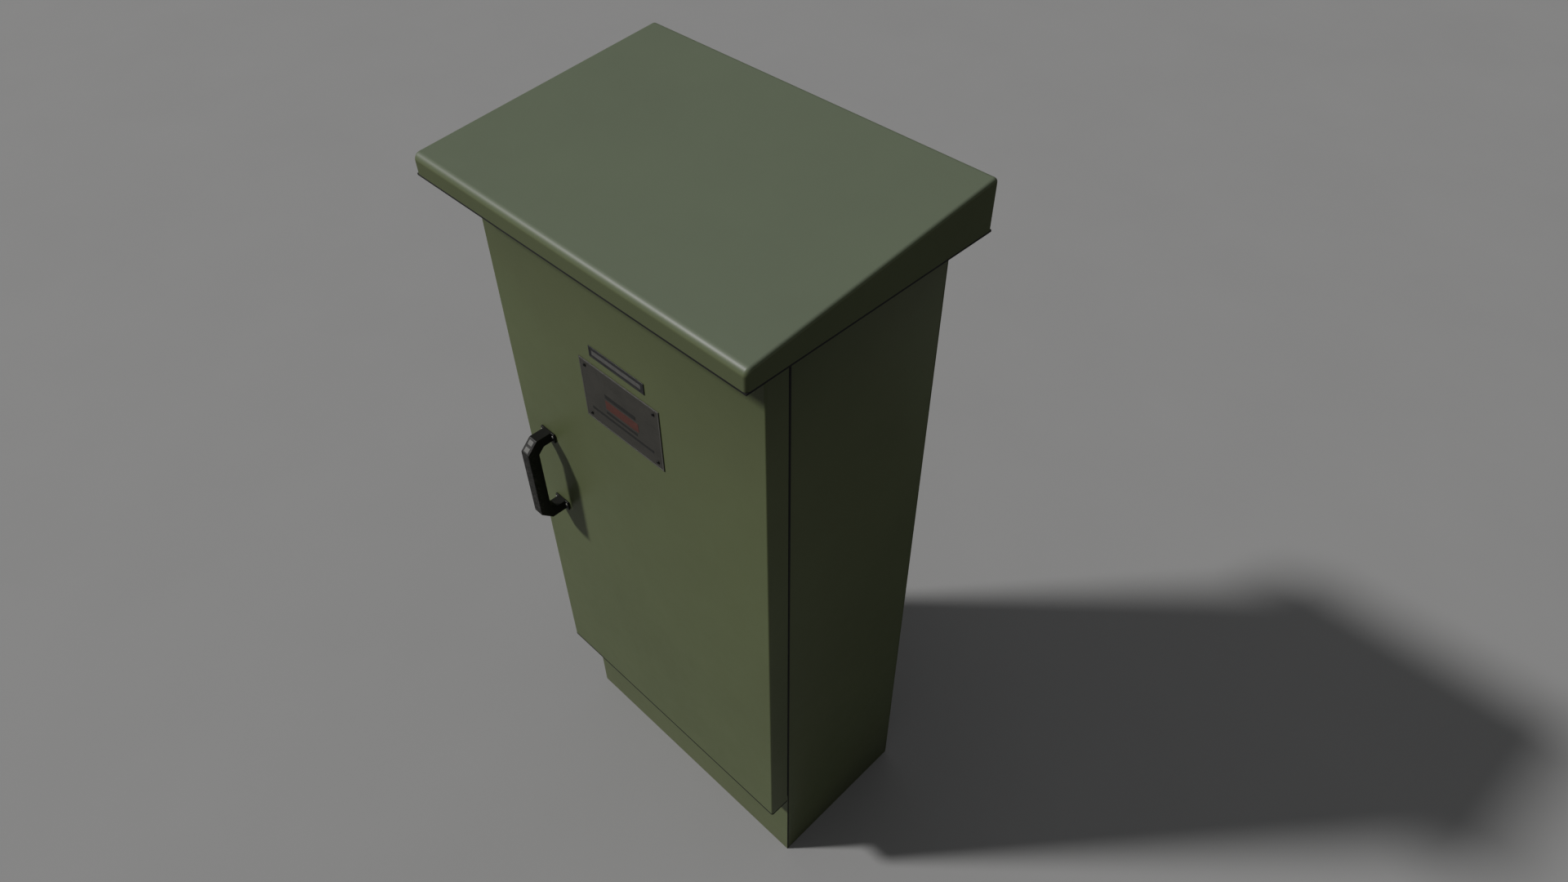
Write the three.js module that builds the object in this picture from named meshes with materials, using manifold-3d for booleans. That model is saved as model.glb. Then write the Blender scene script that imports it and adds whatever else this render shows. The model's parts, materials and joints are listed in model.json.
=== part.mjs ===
// Outdoor transformer cabinet: a slim sheet-steel kiosk with a sloped rain canopy and one overlay door.
// A small dry-type three-phase transformer stands on its floor, below the switchgear it feeds.
// Millimetres. +Z up, the door faces -Y, +X is to the right of someone facing the door.
// The origin is on the ground, under the centre of the canopy.

import * as THREE from "three";
import { mergeVertices } from "three/addons/utils/BufferGeometryUtils.js";
import Module from "manifold-3d";

const wasm = await Module();
wasm.setup();

// ---------------------------------------------------------------------------------------------
// Driving dimensions
// ---------------------------------------------------------------------------------------------

const GAP = 0.3; // clearance left between parts that touch
const SHEET = 2.5; // cabinet sheet thickness

const canopy = {
  width: 910,
  depth: 617,
  rim: 1854, // height of the lower edge
  front: 47, // fascia height at the front
  rear: 113, // fascia height at the rear
  sheet: 3,
  lip: 15, // return lip around the lower edge
  frontRound: 16,
  sideRound: 8,
  rearRound: 10, // at least sideRound, so that the rounded ends stay closed
  rebate: { height: 4, depth: 1 }, // outer step around the lower edge, for its edging strip
};

const body = {
  left: -400,
  right: 400,
  front: -157.5,
  back: 266.5,
  top: 1869,
  floor: 294, // underside of the equipment floor, level with the door's lower edge
  floorSheet: 4,
};

const door = {
  left: -416,
  right: 404,
  bottom: 294,
  top: 1846,
  front: -218.1,
  rear: -162.5,
  sheet: 2.5,
  round: 5,
  liner: 2, // inner skin thickness
};

const opening = { left: -342.5, right: 342.5, bottom: 335, top: 1805, lip: 18 };

// ---------------------------------------------------------------------------------------------
// Solids: three.js makes each shape, manifold-3d joins and cuts
// ---------------------------------------------------------------------------------------------

function toSolid(geometry) {
  const bare = geometry.index ? geometry.toNonIndexed() : geometry.clone();
  bare.deleteAttribute("normal");
  bare.deleteAttribute("uv");
  const merged = mergeVertices(bare, 1e-3);
  const vertProperties = new Float32Array(merged.attributes.position.array);
  const triVerts = new Uint32Array(merged.index.array);
  return new wasm.Manifold(new wasm.Mesh({ numProp: 3, vertProperties, triVerts }));
}

function toGeometry(solid) {
  const mesh = solid.getMesh();
  const geometry = new THREE.BufferGeometry();
  geometry.setAttribute("position", new THREE.BufferAttribute(mesh.vertProperties, 3));
  geometry.setIndex(new THREE.BufferAttribute(mesh.triVerts, 1));
  const faceted = geometry.toNonIndexed();
  faceted.computeVertexNormals();
  return faceted;
}

function join(...solids) {
  return solids.reduce((whole, solid) => whole.add(solid));
}

function cut(solid, ...tools) {
  return tools.reduce((rest, tool) => rest.subtract(tool), solid);
}

// A box between two values on each axis.
function block([x0, x1], [y0, y1], [z0, z1]) {
  const geometry = new THREE.BoxGeometry(x1 - x0, y1 - y0, z1 - z0);
  geometry.translate((x0 + x1) / 2, (y0 + y1) / 2, (z0 + z1) / 2);
  return toSolid(geometry);
}

function outline(points) {
  return new THREE.Shape(points.map(([u, v]) => new THREE.Vector2(u, v)));
}

// An outline of corners (u, v, radius): each corner with a radius becomes an arc.
function roundedOutline(corners, arcSteps = 6) {
  const points = [];
  corners.forEach(([u, v, radius], i) => {
    const corner = new THREE.Vector2(u, v);
    if (radius === 0) {
      points.push(corner);
      return;
    }
    const towards = ([nextU, nextV]) => new THREE.Vector2(nextU, nextV).sub(corner).normalize();
    const before = towards(corners.at(i - 1));
    const after = towards(corners[(i + 1) % corners.length]);
    const halfAngle = Math.acos(before.dot(after)) / 2;
    const inwards = before.clone().add(after).normalize();
    const centre = corner.clone().addScaledVector(inwards, radius / Math.sin(halfAngle));
    const start = corner.clone().addScaledVector(before, radius / Math.tan(halfAngle)).sub(centre);
    const sweep = Math.PI - 2 * halfAngle;
    const turn = Math.sign(before.cross(after)) * -sweep;
    for (let step = 0; step <= arcSteps; step += 1) {
      const spoke = start.clone().rotateAround(new THREE.Vector2(), (turn * step) / arcSteps);
      points.push(spoke.add(centre));
    }
  });
  return new THREE.Shape(points);
}

// The three ways to stand an extruded outline: its plane, and the direction it runs in.
const X = new THREE.Vector3(1, 0, 0);
const Y = new THREE.Vector3(0, 1, 0);
const Z = new THREE.Vector3(0, 0, 1);
const sideView = new THREE.Matrix4().makeBasis(Y, Z, X); // outline in (y, z), runs along +X
const planView = new THREE.Matrix4(); // outline in (x, y), runs along +Z
const frontView = new THREE.Matrix4().makeBasis(X, Z, Y.clone().negate()); // (x, z), runs along -Y

function extrude(shape, view, length, options = {}) {
  const settings = { depth: length, bevelEnabled: false, curveSegments: 6, ...options };
  return new THREE.ExtrudeGeometry(shape, settings).applyMatrix4(view);
}

// Settings that round off both ends of an extrusion, inside its outline.
function roundedEnds(radius, steps = 4) {
  return {
    bevelEnabled: true,
    bevelThickness: radius,
    bevelSize: radius,
    bevelOffset: -radius,
    bevelSegments: steps,
  };
}

function profileAlongX(points, [x0, x1]) {
  return toSolid(extrude(outline(points), sideView, x1 - x0).translate(x0, 0, 0));
}

function profileAlongY(points, [y0, y1]) {
  return toSolid(extrude(outline(points), frontView, y1 - y0).translate(0, y1, 0));
}

function profileAlongZ(points, [z0, z1]) {
  return toSolid(extrude(outline(points), planView, z1 - z0).translate(0, 0, z0));
}

// A round bar from one point to another.
function rod(start, end, radius, sides = 16) {
  const from = new THREE.Vector3(...start);
  const to = new THREE.Vector3(...end);
  const along = to.clone().sub(from);
  const geometry = new THREE.CylinderGeometry(radius, radius, along.length(), sides);
  const turn = new THREE.Quaternion().setFromUnitVectors(Y, along.clone().normalize());
  geometry.applyQuaternion(turn);
  const middle = from.add(to).multiplyScalar(0.5);
  geometry.translate(middle.x, middle.y, middle.z);
  return toSolid(geometry);
}

// An insulated lead swept along a smooth curve through the points.
function lead(points, radius, steps = 14) {
  const path = new THREE.CatmullRomCurve3(points.map((p) => new THREE.Vector3(...p)));
  const section = new THREE.Shape();
  section.absarc(0, 0, radius, 0, 2 * Math.PI);
  const settings = { steps, extrudePath: path, curveSegments: 8, bevelEnabled: false };
  return toSolid(new THREE.ExtrudeGeometry(section, settings));
}

// A C section in the (u, v) plane: the web stands at u = 0 and the flanges reach to u = reach.
function channelPoints(reach, low, high, thick) {
  const side = Math.sign(reach);
  return [
    [0, low],
    [reach, low],
    [reach, low + thick],
    [side * thick, low + thick],
    [side * thick, high - thick],
    [reach, high - thick],
    [reach, high],
    [0, high],
  ];
}

function shift(points, du, dv) {
  return points.map(([u, v]) => [u + du, v + dv]);
}

// ---------------------------------------------------------------------------------------------
// Materials and the assembly
// ---------------------------------------------------------------------------------------------

function material(color, roughness, metalness = 0) {
  return { color, roughness, metalness };
}

const finish = {
  paint: material(0x4f5540, 0.42),
  innerPaint: material(0x565c47, 0.5),
  galvanised: material(0x8d9294, 0.45, 0.8),
  darkSteel: material(0x1d1e1c, 0.4, 0.6),
  handlePlastic: material(0x161614, 0.38),
  noticeMetal: material(0x5c5a55, 0.4, 0.7),
  nameStrip: material(0x2e3136, 0.5),
  rubber: material(0x151515, 0.8),
  coreSteel: material(0x43474a, 0.5, 0.6),
  resin: material(0x7c3a26, 0.35),
  foil: material(0xb0703c, 0.4, 0.8),
  laminate: material(0x8a6a3c, 0.55),
  switchBody: material(0x3a3d40, 0.5),
  moduleBody: material(0xc9c9c2, 0.45),
  toggleBlack: material(0x101010, 0.4),
  knobRed: material(0x9c1f1a, 0.4),
  copper: material(0xb87444, 0.35, 0.9),
  ductGrey: material(0x9a9d9c, 0.55),
  leadBlack: material(0x1a1a1a, 0.6),
  magnet: material(0x26282a, 0.5),
};

const transformerCabinet = new THREE.Group();

function add(name, solid, look) {
  const mesh = new THREE.Mesh(toGeometry(solid), new THREE.MeshStandardMaterial(look));
  mesh.name = name;
  transformerCabinet.add(mesh);
}

// ---------------------------------------------------------------------------------------------
// Roof
// ---------------------------------------------------------------------------------------------

const canopyHalf = { x: canopy.width / 2, y: canopy.depth / 2 };
const roofSlope = (canopy.rear - canopy.front) / canopy.depth;

// Height of the canopy's outer skin at a distance back from the centre.
function roofHeight(y) {
  return canopy.rim + canopy.front + (y + canopyHalf.y) * roofSlope;
}

// A wedge with its edges rounded, inset from the outer skin and cut off level at a height.
function canopyWedge(inset, bottom) {
  const front = -canopyHalf.y + inset;
  const rear = canopyHalf.y - inset;
  const drop = inset * Math.hypot(1, roofSlope);
  const skirt = bottom - 30; // far enough below for its rounded edge to be cut off
  const top = (y) => roofHeight(y) - drop;
  const side = roundedOutline([
    [front, skirt, 0],
    [rear, skirt, 0],
    [rear, top(rear), canopy.rearRound - inset],
    [front, top(front), canopy.frontRound - inset],
  ]);
  const width = canopy.width - 2 * inset;
  const round = canopy.sideRound - inset;
  const geometry = extrude(side, sideView, width - 2 * round, roundedEnds(round));
  geometry.translate(-width / 2 + round, 0, 0);
  const everywhere = [-canopy.width, canopy.width];
  return cut(toSolid(geometry), block(everywhere, everywhere, [skirt - 50, bottom]));
}

// Four bars that cut the rebate around the lower edge.
function rimRebates() {
  const { height, depth } = canopy.rebate;
  const z = [canopy.rim - 1, canopy.rim + height];
  const x = [-canopyHalf.x - 1, canopyHalf.x + 1];
  const y = [-canopyHalf.y - 1, canopyHalf.y + 1];
  return [
    block(x, [-canopyHalf.y - 1, -canopyHalf.y + depth], z),
    block(x, [canopyHalf.y - depth, canopyHalf.y + 1], z),
    block([-canopyHalf.x - 1, -canopyHalf.x + depth], y, z),
    block([canopyHalf.x - depth, canopyHalf.x + 1], y, z),
  ];
}

function roofCanopy() {
  const outer = canopyWedge(0, canopy.rim);
  const t = canopy.sheet;
  const hollow = canopyWedge(t, canopy.rim + t);
  const mouthX = canopyHalf.x - canopy.lip;
  const mouthY = canopyHalf.y - canopy.lip;
  const mouth = block([-mouthX, mouthX], [-mouthY, mouthY], [canopy.rim - 5, canopy.rim + t + 5]);
  return cut(outer, hollow, mouth, ...rimRebates());
}

const canopyRails = { front: -120, rear: 190, width: 40, thick: 3, halfLength: 380 };

// A channel across the cabinet whose upper flange lies against the sloped roof.
function canopyRail(y) {
  const low = body.top + SHEET + 2 * GAP;
  const { width, thick, halfLength } = canopyRails;
  const under = (at) => roofHeight(at) - canopy.sheet * Math.hypot(1, roofSlope) - GAP;
  const points = [
    [y, low],
    [y + width, low],
    [y + width, low + thick],
    [y + thick, low + thick],
    [y + thick, under(y + thick) - thick],
    [y + width, under(y + width) - thick],
    [y + width, under(y + width)],
    [y, under(y)],
  ];
  return profileAlongX(points, [-halfLength, halfLength]);
}

add("roof_canopy", roofCanopy(), finish.paint);
add("canopy_rail_front", canopyRail(canopyRails.front), finish.galvanised);
add("canopy_rail_rear", canopyRail(canopyRails.rear), finish.galvanised);

// ---------------------------------------------------------------------------------------------
// Cabinet shell
// ---------------------------------------------------------------------------------------------

const inside = {
  left: body.left + SHEET,
  right: body.right - SHEET,
  front: body.front + SHEET + GAP,
  back: body.back - SHEET - GAP,
};

const fold = { front: 28, rear: 22 }; // how far the side sheets' edges are folded inwards

// Side sheet with folded front and rear edges. Side is -1 on the left, 1 on the right.
function sidePanel(side) {
  const outer = side * body.right;
  const skin = side * inside.right;
  const frontFold = side * (inside.right - fold.front);
  const rearFold = side * (inside.right - fold.rear);
  const points = [
    [outer, inside.front],
    [outer, inside.back],
    [rearFold, inside.back],
    [rearFold, inside.back - SHEET],
    [skin, inside.back - SHEET],
    [skin, inside.front + SHEET],
    [frontFold, inside.front + SHEET],
    [frontFold, inside.front],
  ];
  return profileAlongZ(points, [0, body.top]);
}

function doorFrame() {
  const sheet = block([body.left, body.right], [body.front, body.front + SHEET], [0, body.top]);
  const o = opening;
  const lipBack = body.front + SHEET + o.lip;
  const lip = block(
    [o.left - SHEET, o.right + SHEET],
    [body.front, lipBack],
    [o.bottom - SHEET, o.top + SHEET],
  );
  const way = block([o.left, o.right], [body.front - 5, lipBack + 5], [o.bottom, o.top]);
  return cut(join(sheet, lip), way);
}

const vent = { width: 360, height: 130, lower: 340, upper: 1690 };

function rearPanel() {
  const sheet = block(
    [body.left, body.right],
    [body.back - SHEET, body.back],
    [0, body.top],
  );
  const holes = [vent.lower, vent.upper].map((low) =>
    block(
      [-vent.width / 2, vent.width / 2],
      [body.back - 10, body.back + 10],
      [low, low + vent.height],
    ),
  );
  return cut(sheet, ...holes);
}

const blade = { count: 6, thick: 2.5, drop: 13, margin: 2, bite: 3 };

// Bolt-on vent: a frame around the hole in the rear panel, with blades that shed rain outwards.
function louvre(low) {
  const border = 22;
  const depth = 14;
  const face = body.back + GAP;
  const halfWidth = vent.width / 2 + border;
  const rim = block(
    [-halfWidth, halfWidth],
    [face, face + depth],
    [low - border, low + vent.height + border],
  );
  const hole = block(
    [-vent.width / 2, vent.width / 2],
    [face - 5, face + depth + 5],
    [low, low + vent.height],
  );
  const blades = [];
  const pitch = vent.height / blade.count;
  const reach = vent.width / 2 + blade.bite;
  for (let i = 0; i < blade.count; i += 1) {
    const foot = low + i * pitch + blade.margin;
    const points = [
      [face + blade.margin, foot + blade.drop],
      [face + depth - 1, foot],
      [face + depth - 1, foot + blade.thick],
      [face + blade.margin, foot + blade.drop + blade.thick],
    ];
    blades.push(profileAlongX(points, [-reach, reach]));
  }
  return join(cut(rim, hole), ...blades);
}

const cableHole = { x: 220, front: -138, back: -62 };
const floorSkirt = { height: 36, thick: 3 };

// Equipment floor: a plate with a skirt turned down around it, and an opening for the cables.
function floorPlate() {
  const x = inside.right - GAP;
  const front = inside.front + SHEET + GAP;
  const back = inside.back - SHEET - GAP;
  const { height, thick } = floorSkirt;
  const plate = block([-x, x], [front, back], [body.floor, body.floor + body.floorSheet]);
  const skirt = block([-x, x], [front, back], [body.floor - height, body.floor + 1]);
  const between = block(
    [-x + thick, x - thick],
    [front + thick, back - thick],
    [body.floor - height - 1, body.floor],
  );
  const hole = block(
    [-cableHole.x, cableHole.x],
    [cableHole.front, cableHole.back],
    [body.floor - 10, body.floor + 10],
  );
  return cut(join(plate, cut(skirt, between)), hole);
}

// Rubber edging that grips the floor's cable opening from above and below.
function cableSeal() {
  const grip = 8; // how far it overlaps the plate
  const wall = 5;
  const lip = 4;
  const lower = body.floor - lip;
  const upper = body.floor + body.floorSheet + lip;
  const h = cableHole;
  const ring = (out, low, high) =>
    block([-h.x - out, h.x + out], [h.front - out, h.back + out], [low, high]);
  const outer = join(
    ring(grip, lower, body.floor - GAP),
    ring(-GAP, lower, upper),
    ring(grip, body.floor + body.floorSheet + GAP, upper),
  );
  return cut(outer, ring(-GAP - wall, lower - 5, upper + 5));
}

function topPanel() {
  return block(
    [body.left + GAP, body.right - GAP],
    [body.front + GAP, body.back - GAP],
    [body.top + GAP, body.top + GAP + SHEET],
  );
}

const baseChannel = { width: 60, height: 50, thick: 5, front: -148, back: 256 };
const anchor = { fromWeb: 36, front: -110, rear: 218, radius: 7 };

// Steel channel along one side of the plinth, with an anchor hole near each end of its foot.
function plinthChannel(side) {
  const c = baseChannel;
  const web = side * (inside.right - GAP);
  const points = shift(channelPoints(-side * c.width, 0, c.height, c.thick), web, 0);
  const bar = profileAlongY(points, [c.front, c.back]);
  const x = web - side * anchor.fromWeb;
  const holes = [anchor.front, anchor.rear].map((y) =>
    rod([x, y, -5], [x, y, c.thick + 5], anchor.radius),
  );
  return cut(bar, ...holes);
}

add("door_frame", doorFrame(), finish.paint);
add("side_panel_left", sidePanel(-1), finish.paint);
add("side_panel_right", sidePanel(1), finish.paint);
add("rear_panel", rearPanel(), finish.paint);
add("top_panel", topPanel(), finish.paint);
add("floor_plate", floorPlate(), finish.innerPaint);
add("cable_seal", cableSeal(), finish.rubber);
add("base_channel_left", plinthChannel(-1), finish.galvanised);
add("base_channel_right", plinthChannel(1), finish.galvanised);
add("louvre_lower", louvre(vent.lower), finish.paint);
add("louvre_upper", louvre(vent.upper), finish.paint);

// ---------------------------------------------------------------------------------------------
// Door
// ---------------------------------------------------------------------------------------------

// A slab whose front edges are rounded: the outline is in (x, z) and the back is cut flat.
function roundedSlab([x0, x1], [z0, z1], [front, back], round) {
  const shape = outline([
    [x0, z0],
    [x1, z0],
    [x1, z1],
    [x0, z1],
  ]);
  const geometry = extrude(shape, frontView, back - front, roundedEnds(round));
  geometry.translate(0, back + round, 0);
  const behind = block([x0 - 5, x1 + 5], [back, back + 4 * round], [z0 - 5, z1 + 5]);
  return cut(toSolid(geometry), behind);
}

function doorShell() {
  const d = door;
  const t = d.sheet;
  const skin = roundedSlab([d.left, d.right], [d.bottom, d.top], [d.front, d.rear], d.round);
  const hollow = roundedSlab(
    [d.left + t, d.right - t],
    [d.bottom + t, d.top - t],
    [d.front + t, d.rear + 5],
    d.round - t,
  );
  return cut(skin, hollow);
}

// Inner skin of the door: a shallow tray that closes the shell from behind.
function doorLiner() {
  const margin = door.sheet + GAP;
  const rimDepth = 20;
  const x = [door.left + margin, door.right - margin];
  const z = [door.bottom + margin, door.top - margin];
  const tray = block(x, [door.rear - rimDepth, door.rear], z);
  const t = door.liner;
  const hollow = block(
    [x[0] + t, x[1] - t],
    [door.rear - rimDepth - 5, door.rear - t],
    [z[0] + t, z[1] - t],
  );
  return cut(tray, hollow);
}

// Closed-cell gasket on the liner, pressed against the frame all round the opening.
function doorSeal() {
  const width = 14;
  const stand = 9.5;
  const y = [door.rear + GAP, body.front - GAP];
  const o = opening;
  const ring = (out) =>
    block(
      [o.left - out, o.right + out],
      [y[0], y[1]],
      [o.bottom - out, o.top + out],
    );
  const hole = block(
    [o.left - stand, o.right + stand],
    [y[0] - 5, y[1] + 5],
    [o.bottom - stand, o.top + stand],
  );
  return cut(ring(stand + width), hole);
}

const handle = {
  x: -324, // centre line
  width: 28.8,
  bottom: 934,
  top: 1196,
  standOff: 74.7,
  bar: 29.6,
  arm: 27,
  chamfer: 29.3,
  innerChamfer: 16,
  footWidth: 50,
  footThick: 5,
};

// Bridge handle: a U with chamfered corners, on two feet that are wider than its bar.
function pullHandle() {
  const h = handle;
  const root = door.front - GAP;
  const outer = door.front - h.standOff;
  const inner = outer + h.bar;
  const innerTop = h.top - h.arm;
  const innerBottom = h.bottom + h.arm;
  const points = [
    [root, h.top],
    [outer + h.chamfer, h.top],
    [outer, h.top - h.chamfer],
    [outer, h.bottom + h.chamfer],
    [outer + h.chamfer, h.bottom],
    [root, h.bottom],
    [root, innerBottom],
    [inner + h.innerChamfer, innerBottom],
    [inner, innerBottom + h.innerChamfer],
    [inner, innerTop - h.innerChamfer],
    [inner + h.innerChamfer, innerTop],
    [root, innerTop],
  ];
  const bridge = profileAlongX(points, [h.x - h.width / 2, h.x + h.width / 2]);
  const feet = [
    [h.bottom, innerBottom],
    [innerTop, h.top],
  ].map((z) =>
    block([h.x - h.footWidth / 2, h.x + h.footWidth / 2], [root - h.footThick, root], z),
  );
  return join(bridge, ...feet);
}

function doorPlate(x, z, thick) {
  const face = door.front - GAP;
  return roundedSlab(x, z, [face - thick, face], 0.6);
}

const pocket = { x: [-150, 150], z: [700, 930], depth: 32, wall: 2, frontCut: 50, backboard: 8 };

// Open-topped tray for drawings on the door's inner skin.
function documentPocket() {
  const p = pocket;
  const near = door.rear + GAP;
  const far = near + p.depth;
  const tray = block(p.x, [near, far], p.z);
  const hollow = block(
    [p.x[0] + p.wall, p.x[1] - p.wall],
    [near + p.wall, far - p.wall],
    [p.z[0] + p.wall, p.z[1] + 5],
  );
  const lowFront = block(
    [p.x[0] - 5, p.x[1] + 5],
    [near + p.backboard, far + 5],
    [p.z[1] - p.frontCut, p.z[1] + 5],
  );
  return cut(tray, hollow, lowFront);
}

add("door_shell", doorShell(), finish.paint);
add("door_liner", doorLiner(), finish.paint);
add("door_seal", doorSeal(), finish.rubber);
add("pull_handle", pullHandle(), finish.handlePlastic);
add("name_plate", doorPlate([-98, 71], [1554, 1583], 1), finish.nameStrip);
add("notice_plate", doorPlate([-139, 109], [1368, 1533], 1.2), finish.noticeMetal);
add("document_pocket", documentPocket(), finish.galvanised);

// Continuous hinge in the line between door and body, flush with the door's right side.
const hinge = {
  x: door.right - 2.5,
  y: (door.rear + body.front) / 2,
  bottom: 320,
  top: 1820,
  knuckles: 7,
  knuckleRadius: 2.3,
  boreRadius: 1.3,
  pinRadius: 1.1,
  leafThick: 1.2,
  leafEdge: 368,
};

// One leaf with its share of the knuckles. Even knuckles belong to the cabinet, odd ones to the door.
function hingeLeaf(firstKnuckle, leafY) {
  const h = hinge;
  const pitch = (h.top - h.bottom) / h.knuckles;
  const y = [leafY, leafY + h.leafThick];
  const plate = block([h.leafEdge, h.x - h.knuckleRadius - 0.6], y, [h.bottom, h.top]);
  const parts = [plate];
  for (let i = firstKnuckle; i < h.knuckles; i += 2) {
    const low = h.bottom + i * pitch + GAP;
    const high = h.bottom + (i + 1) * pitch - GAP;
    parts.push(rod([h.x, h.y, low], [h.x, h.y, high], h.knuckleRadius, 12));
    parts.push(block([h.leafEdge + 10, h.x], y, [low, high]));
  }
  const bore = rod([h.x, h.y, h.bottom - 5], [h.x, h.y, h.top + 5], h.boreRadius, 12);
  return cut(join(...parts), bore);
}

const hingePin = rod(
  [hinge.x, hinge.y, hinge.bottom - 1],
  [hinge.x, hinge.y, hinge.top + 1],
  hinge.pinRadius,
  12,
);

add("hinge_leaf_frame", hingeLeaf(0, body.front - GAP - hinge.leafThick), finish.darkSteel);
add("hinge_leaf_door", hingeLeaf(1, door.rear + GAP), finish.darkSteel);
add("hinge_pin", hingePin, finish.darkSteel);

// Magnetic catches on the handle side: a magnet in the frame meets a steel plate on the door.
const catchHeights = { lower: 620, upper: 1520 };
const magnet = { width: 26, depth: 30, halfHeight: 32, border: 4, polesHalf: 24, polesProud: 1.5 };
const strike = { thick: 3, halfHeight: 30, from: 2, to: 30 };

function magnetCatch(z) {
  const m = magnet;
  const x = [opening.left + GAP, opening.left + m.width];
  const face = door.rear + GAP + strike.thick + GAP;
  const shell = block(x, [face + m.polesProud, face + m.depth], [z - m.halfHeight, z + m.halfHeight]);
  const poles = block(
    [x[0] + m.border, x[1] - m.border],
    [face, face + m.polesProud + 0.5],
    [z - m.polesHalf, z + m.polesHalf],
  );
  return join(shell, poles);
}

function strikePlate(z) {
  return block(
    [opening.left + strike.from, opening.left + strike.to],
    [door.rear + GAP, door.rear + GAP + strike.thick],
    [z - strike.halfHeight, z + strike.halfHeight],
  );
}

for (const [place, z] of Object.entries(catchHeights)) {
  add(`magnet_catch_${place}`, magnetCatch(z), finish.magnet);
  add(`strike_plate_${place}`, strikePlate(z), finish.galvanised);
}

// ---------------------------------------------------------------------------------------------
// Transformer
// ---------------------------------------------------------------------------------------------

const core = {
  y: 60, // centre of the stack
  stack: 80,
  limb: 70,
  pitch: 212,
  window: 300,
  yoke: 70,
};
const bearer = { width: 50, height: 60, x: 160, front: -48, back: 175, thick: 4 };
const clamp = { height: 70, reach: 40, thick: 5, length: 540 };
const floorTop = body.floor + body.floorSheet;
const bearerTop = floorTop + GAP + bearer.height;
const clampLow = bearerTop + GAP;
core.bottom = clampLow + clamp.thick;
core.windowLow = core.bottom + core.yoke;
core.windowHigh = core.windowLow + core.window;
core.top = core.windowHigh + core.yoke;
const phases = { left: -1, centre: 0, right: 1 };

function ironCore() {
  const c = core;
  const halfWidth = c.pitch + c.limb / 2;
  const deep = [c.y - c.stack / 2, c.y + c.stack / 2];
  const stack = block([-halfWidth, halfWidth], deep, [c.bottom, c.top]);
  const windows = [-1, 1].map((side) => {
    const near = side * (c.limb / 2);
    const far = side * (c.pitch - c.limb / 2);
    return block(
      [Math.min(near, far), Math.max(near, far)],
      [c.y - c.stack, c.y + c.stack],
      [c.windowLow, c.windowHigh],
    );
  });
  return cut(stack, ...windows);
}

// A wound cylinder around one limb, its ends softened and clear of the yokes.
function winding(x, { inner, outer, clearance, soften }) {
  const low = core.windowLow + clearance;
  const high = core.windowHigh - clearance;
  const profile = [
    [inner, low],
    [outer - soften, low],
    [outer, low + soften],
    [outer, high - soften],
    [outer - soften, high],
    [inner, high],
    [inner, low],
  ].map(([r, z]) => new THREE.Vector2(r, z));
  const geometry = new THREE.LatheGeometry(profile, 32);
  geometry.rotateX(Math.PI / 2);
  geometry.translate(x, core.y, 0);
  return toSolid(geometry);
}

const lowVoltage = { inner: 55, outer: 67, clearance: 12, soften: 1 };
const highVoltage = { inner: 74, outer: 98, clearance: 26, soften: 4 };

add("core", ironCore(), finish.coreSteel);
for (const [place, step] of Object.entries(phases)) {
  const x = step * core.pitch;
  const lv = winding(x, lowVoltage);
  const hv = winding(x, highVoltage);
  add(`lv_winding_${place}`, lv, finish.foil);
  add(`hv_winding_${place}`, hv, finish.resin);
}

// Clamp channels grip both yokes, one in front and one behind.
function coreClamp(side, low) {
  const c = clamp;
  const face = core.y + side * (core.stack / 2 + GAP);
  const points = shift(channelPoints(side * c.reach, 0, c.height, c.thick), face, low);
  return profileAlongX(points, [-c.length / 2, c.length / 2]);
}

const upperClampLow = core.top + clamp.thick - clamp.height;
for (const [place, side] of Object.entries({ front: -1, rear: 1 })) {
  add(`core_clamp_lower_${place}`, coreClamp(side, clampLow), finish.darkSteel);
  add(`core_clamp_upper_${place}`, coreClamp(side, upperClampLow), finish.darkSteel);
}

// The two bearers carry the lower clamps on the floor.
function footBearer(side) {
  const low = floorTop + GAP;
  const centre = side * bearer.x;
  const section = channelPoints(bearer.width, 0, bearer.height, bearer.thick);
  return profileAlongY(shift(section, centre - bearer.width / 2, low), [bearer.front, bearer.back]);
}

add("foot_bearer_left", footBearer(-1), finish.galvanised);
add("foot_bearer_right", footBearer(1), finish.galvanised);

const board = { thick: 10, height: 80, footDepth: 28, forward: 24 };
const stud = { length: 24, radius: 5, height: 48 };
const boardFront = core.y - core.stack / 2 - board.forward;
const boardLow = core.top + clamp.thick + GAP;
const studHeight = boardLow + stud.height;

// Insulating board standing on the front upper clamp, with a row of terminal studs.
function terminalBoard([x0, x1], studs) {
  const b = board;
  const front = boardFront;
  const upright = block([x0, x1], [front, front + b.thick], [boardLow, boardLow + b.height]);
  const foot = block([x0, x1], [front, front + b.footDepth], [boardLow, boardLow + b.thick]);
  const pins = studs.map((x) =>
    rod([x, front + 2, studHeight], [x, front - stud.length, studHeight], stud.radius, 10),
  );
  return join(upright, foot, ...pins);
}

const primaryStuds = [-215, -150, -85];
const secondaryStuds = [60, 115, 170, 225];
add("terminal_board_primary", terminalBoard([-250, -50], primaryStuds), finish.laminate);
add("terminal_board_secondary", terminalBoard([30, 255], secondaryStuds), finish.laminate);

// ---------------------------------------------------------------------------------------------
// Switchgear
// ---------------------------------------------------------------------------------------------

const plate = { x: 350, low: 900, high: 1670, front: 222, thick: 2.5, fold: 16 };
const post = { inset: { x: 40, z: 50 }, radius: 8 };
const gearBack = plate.front - GAP;

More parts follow.
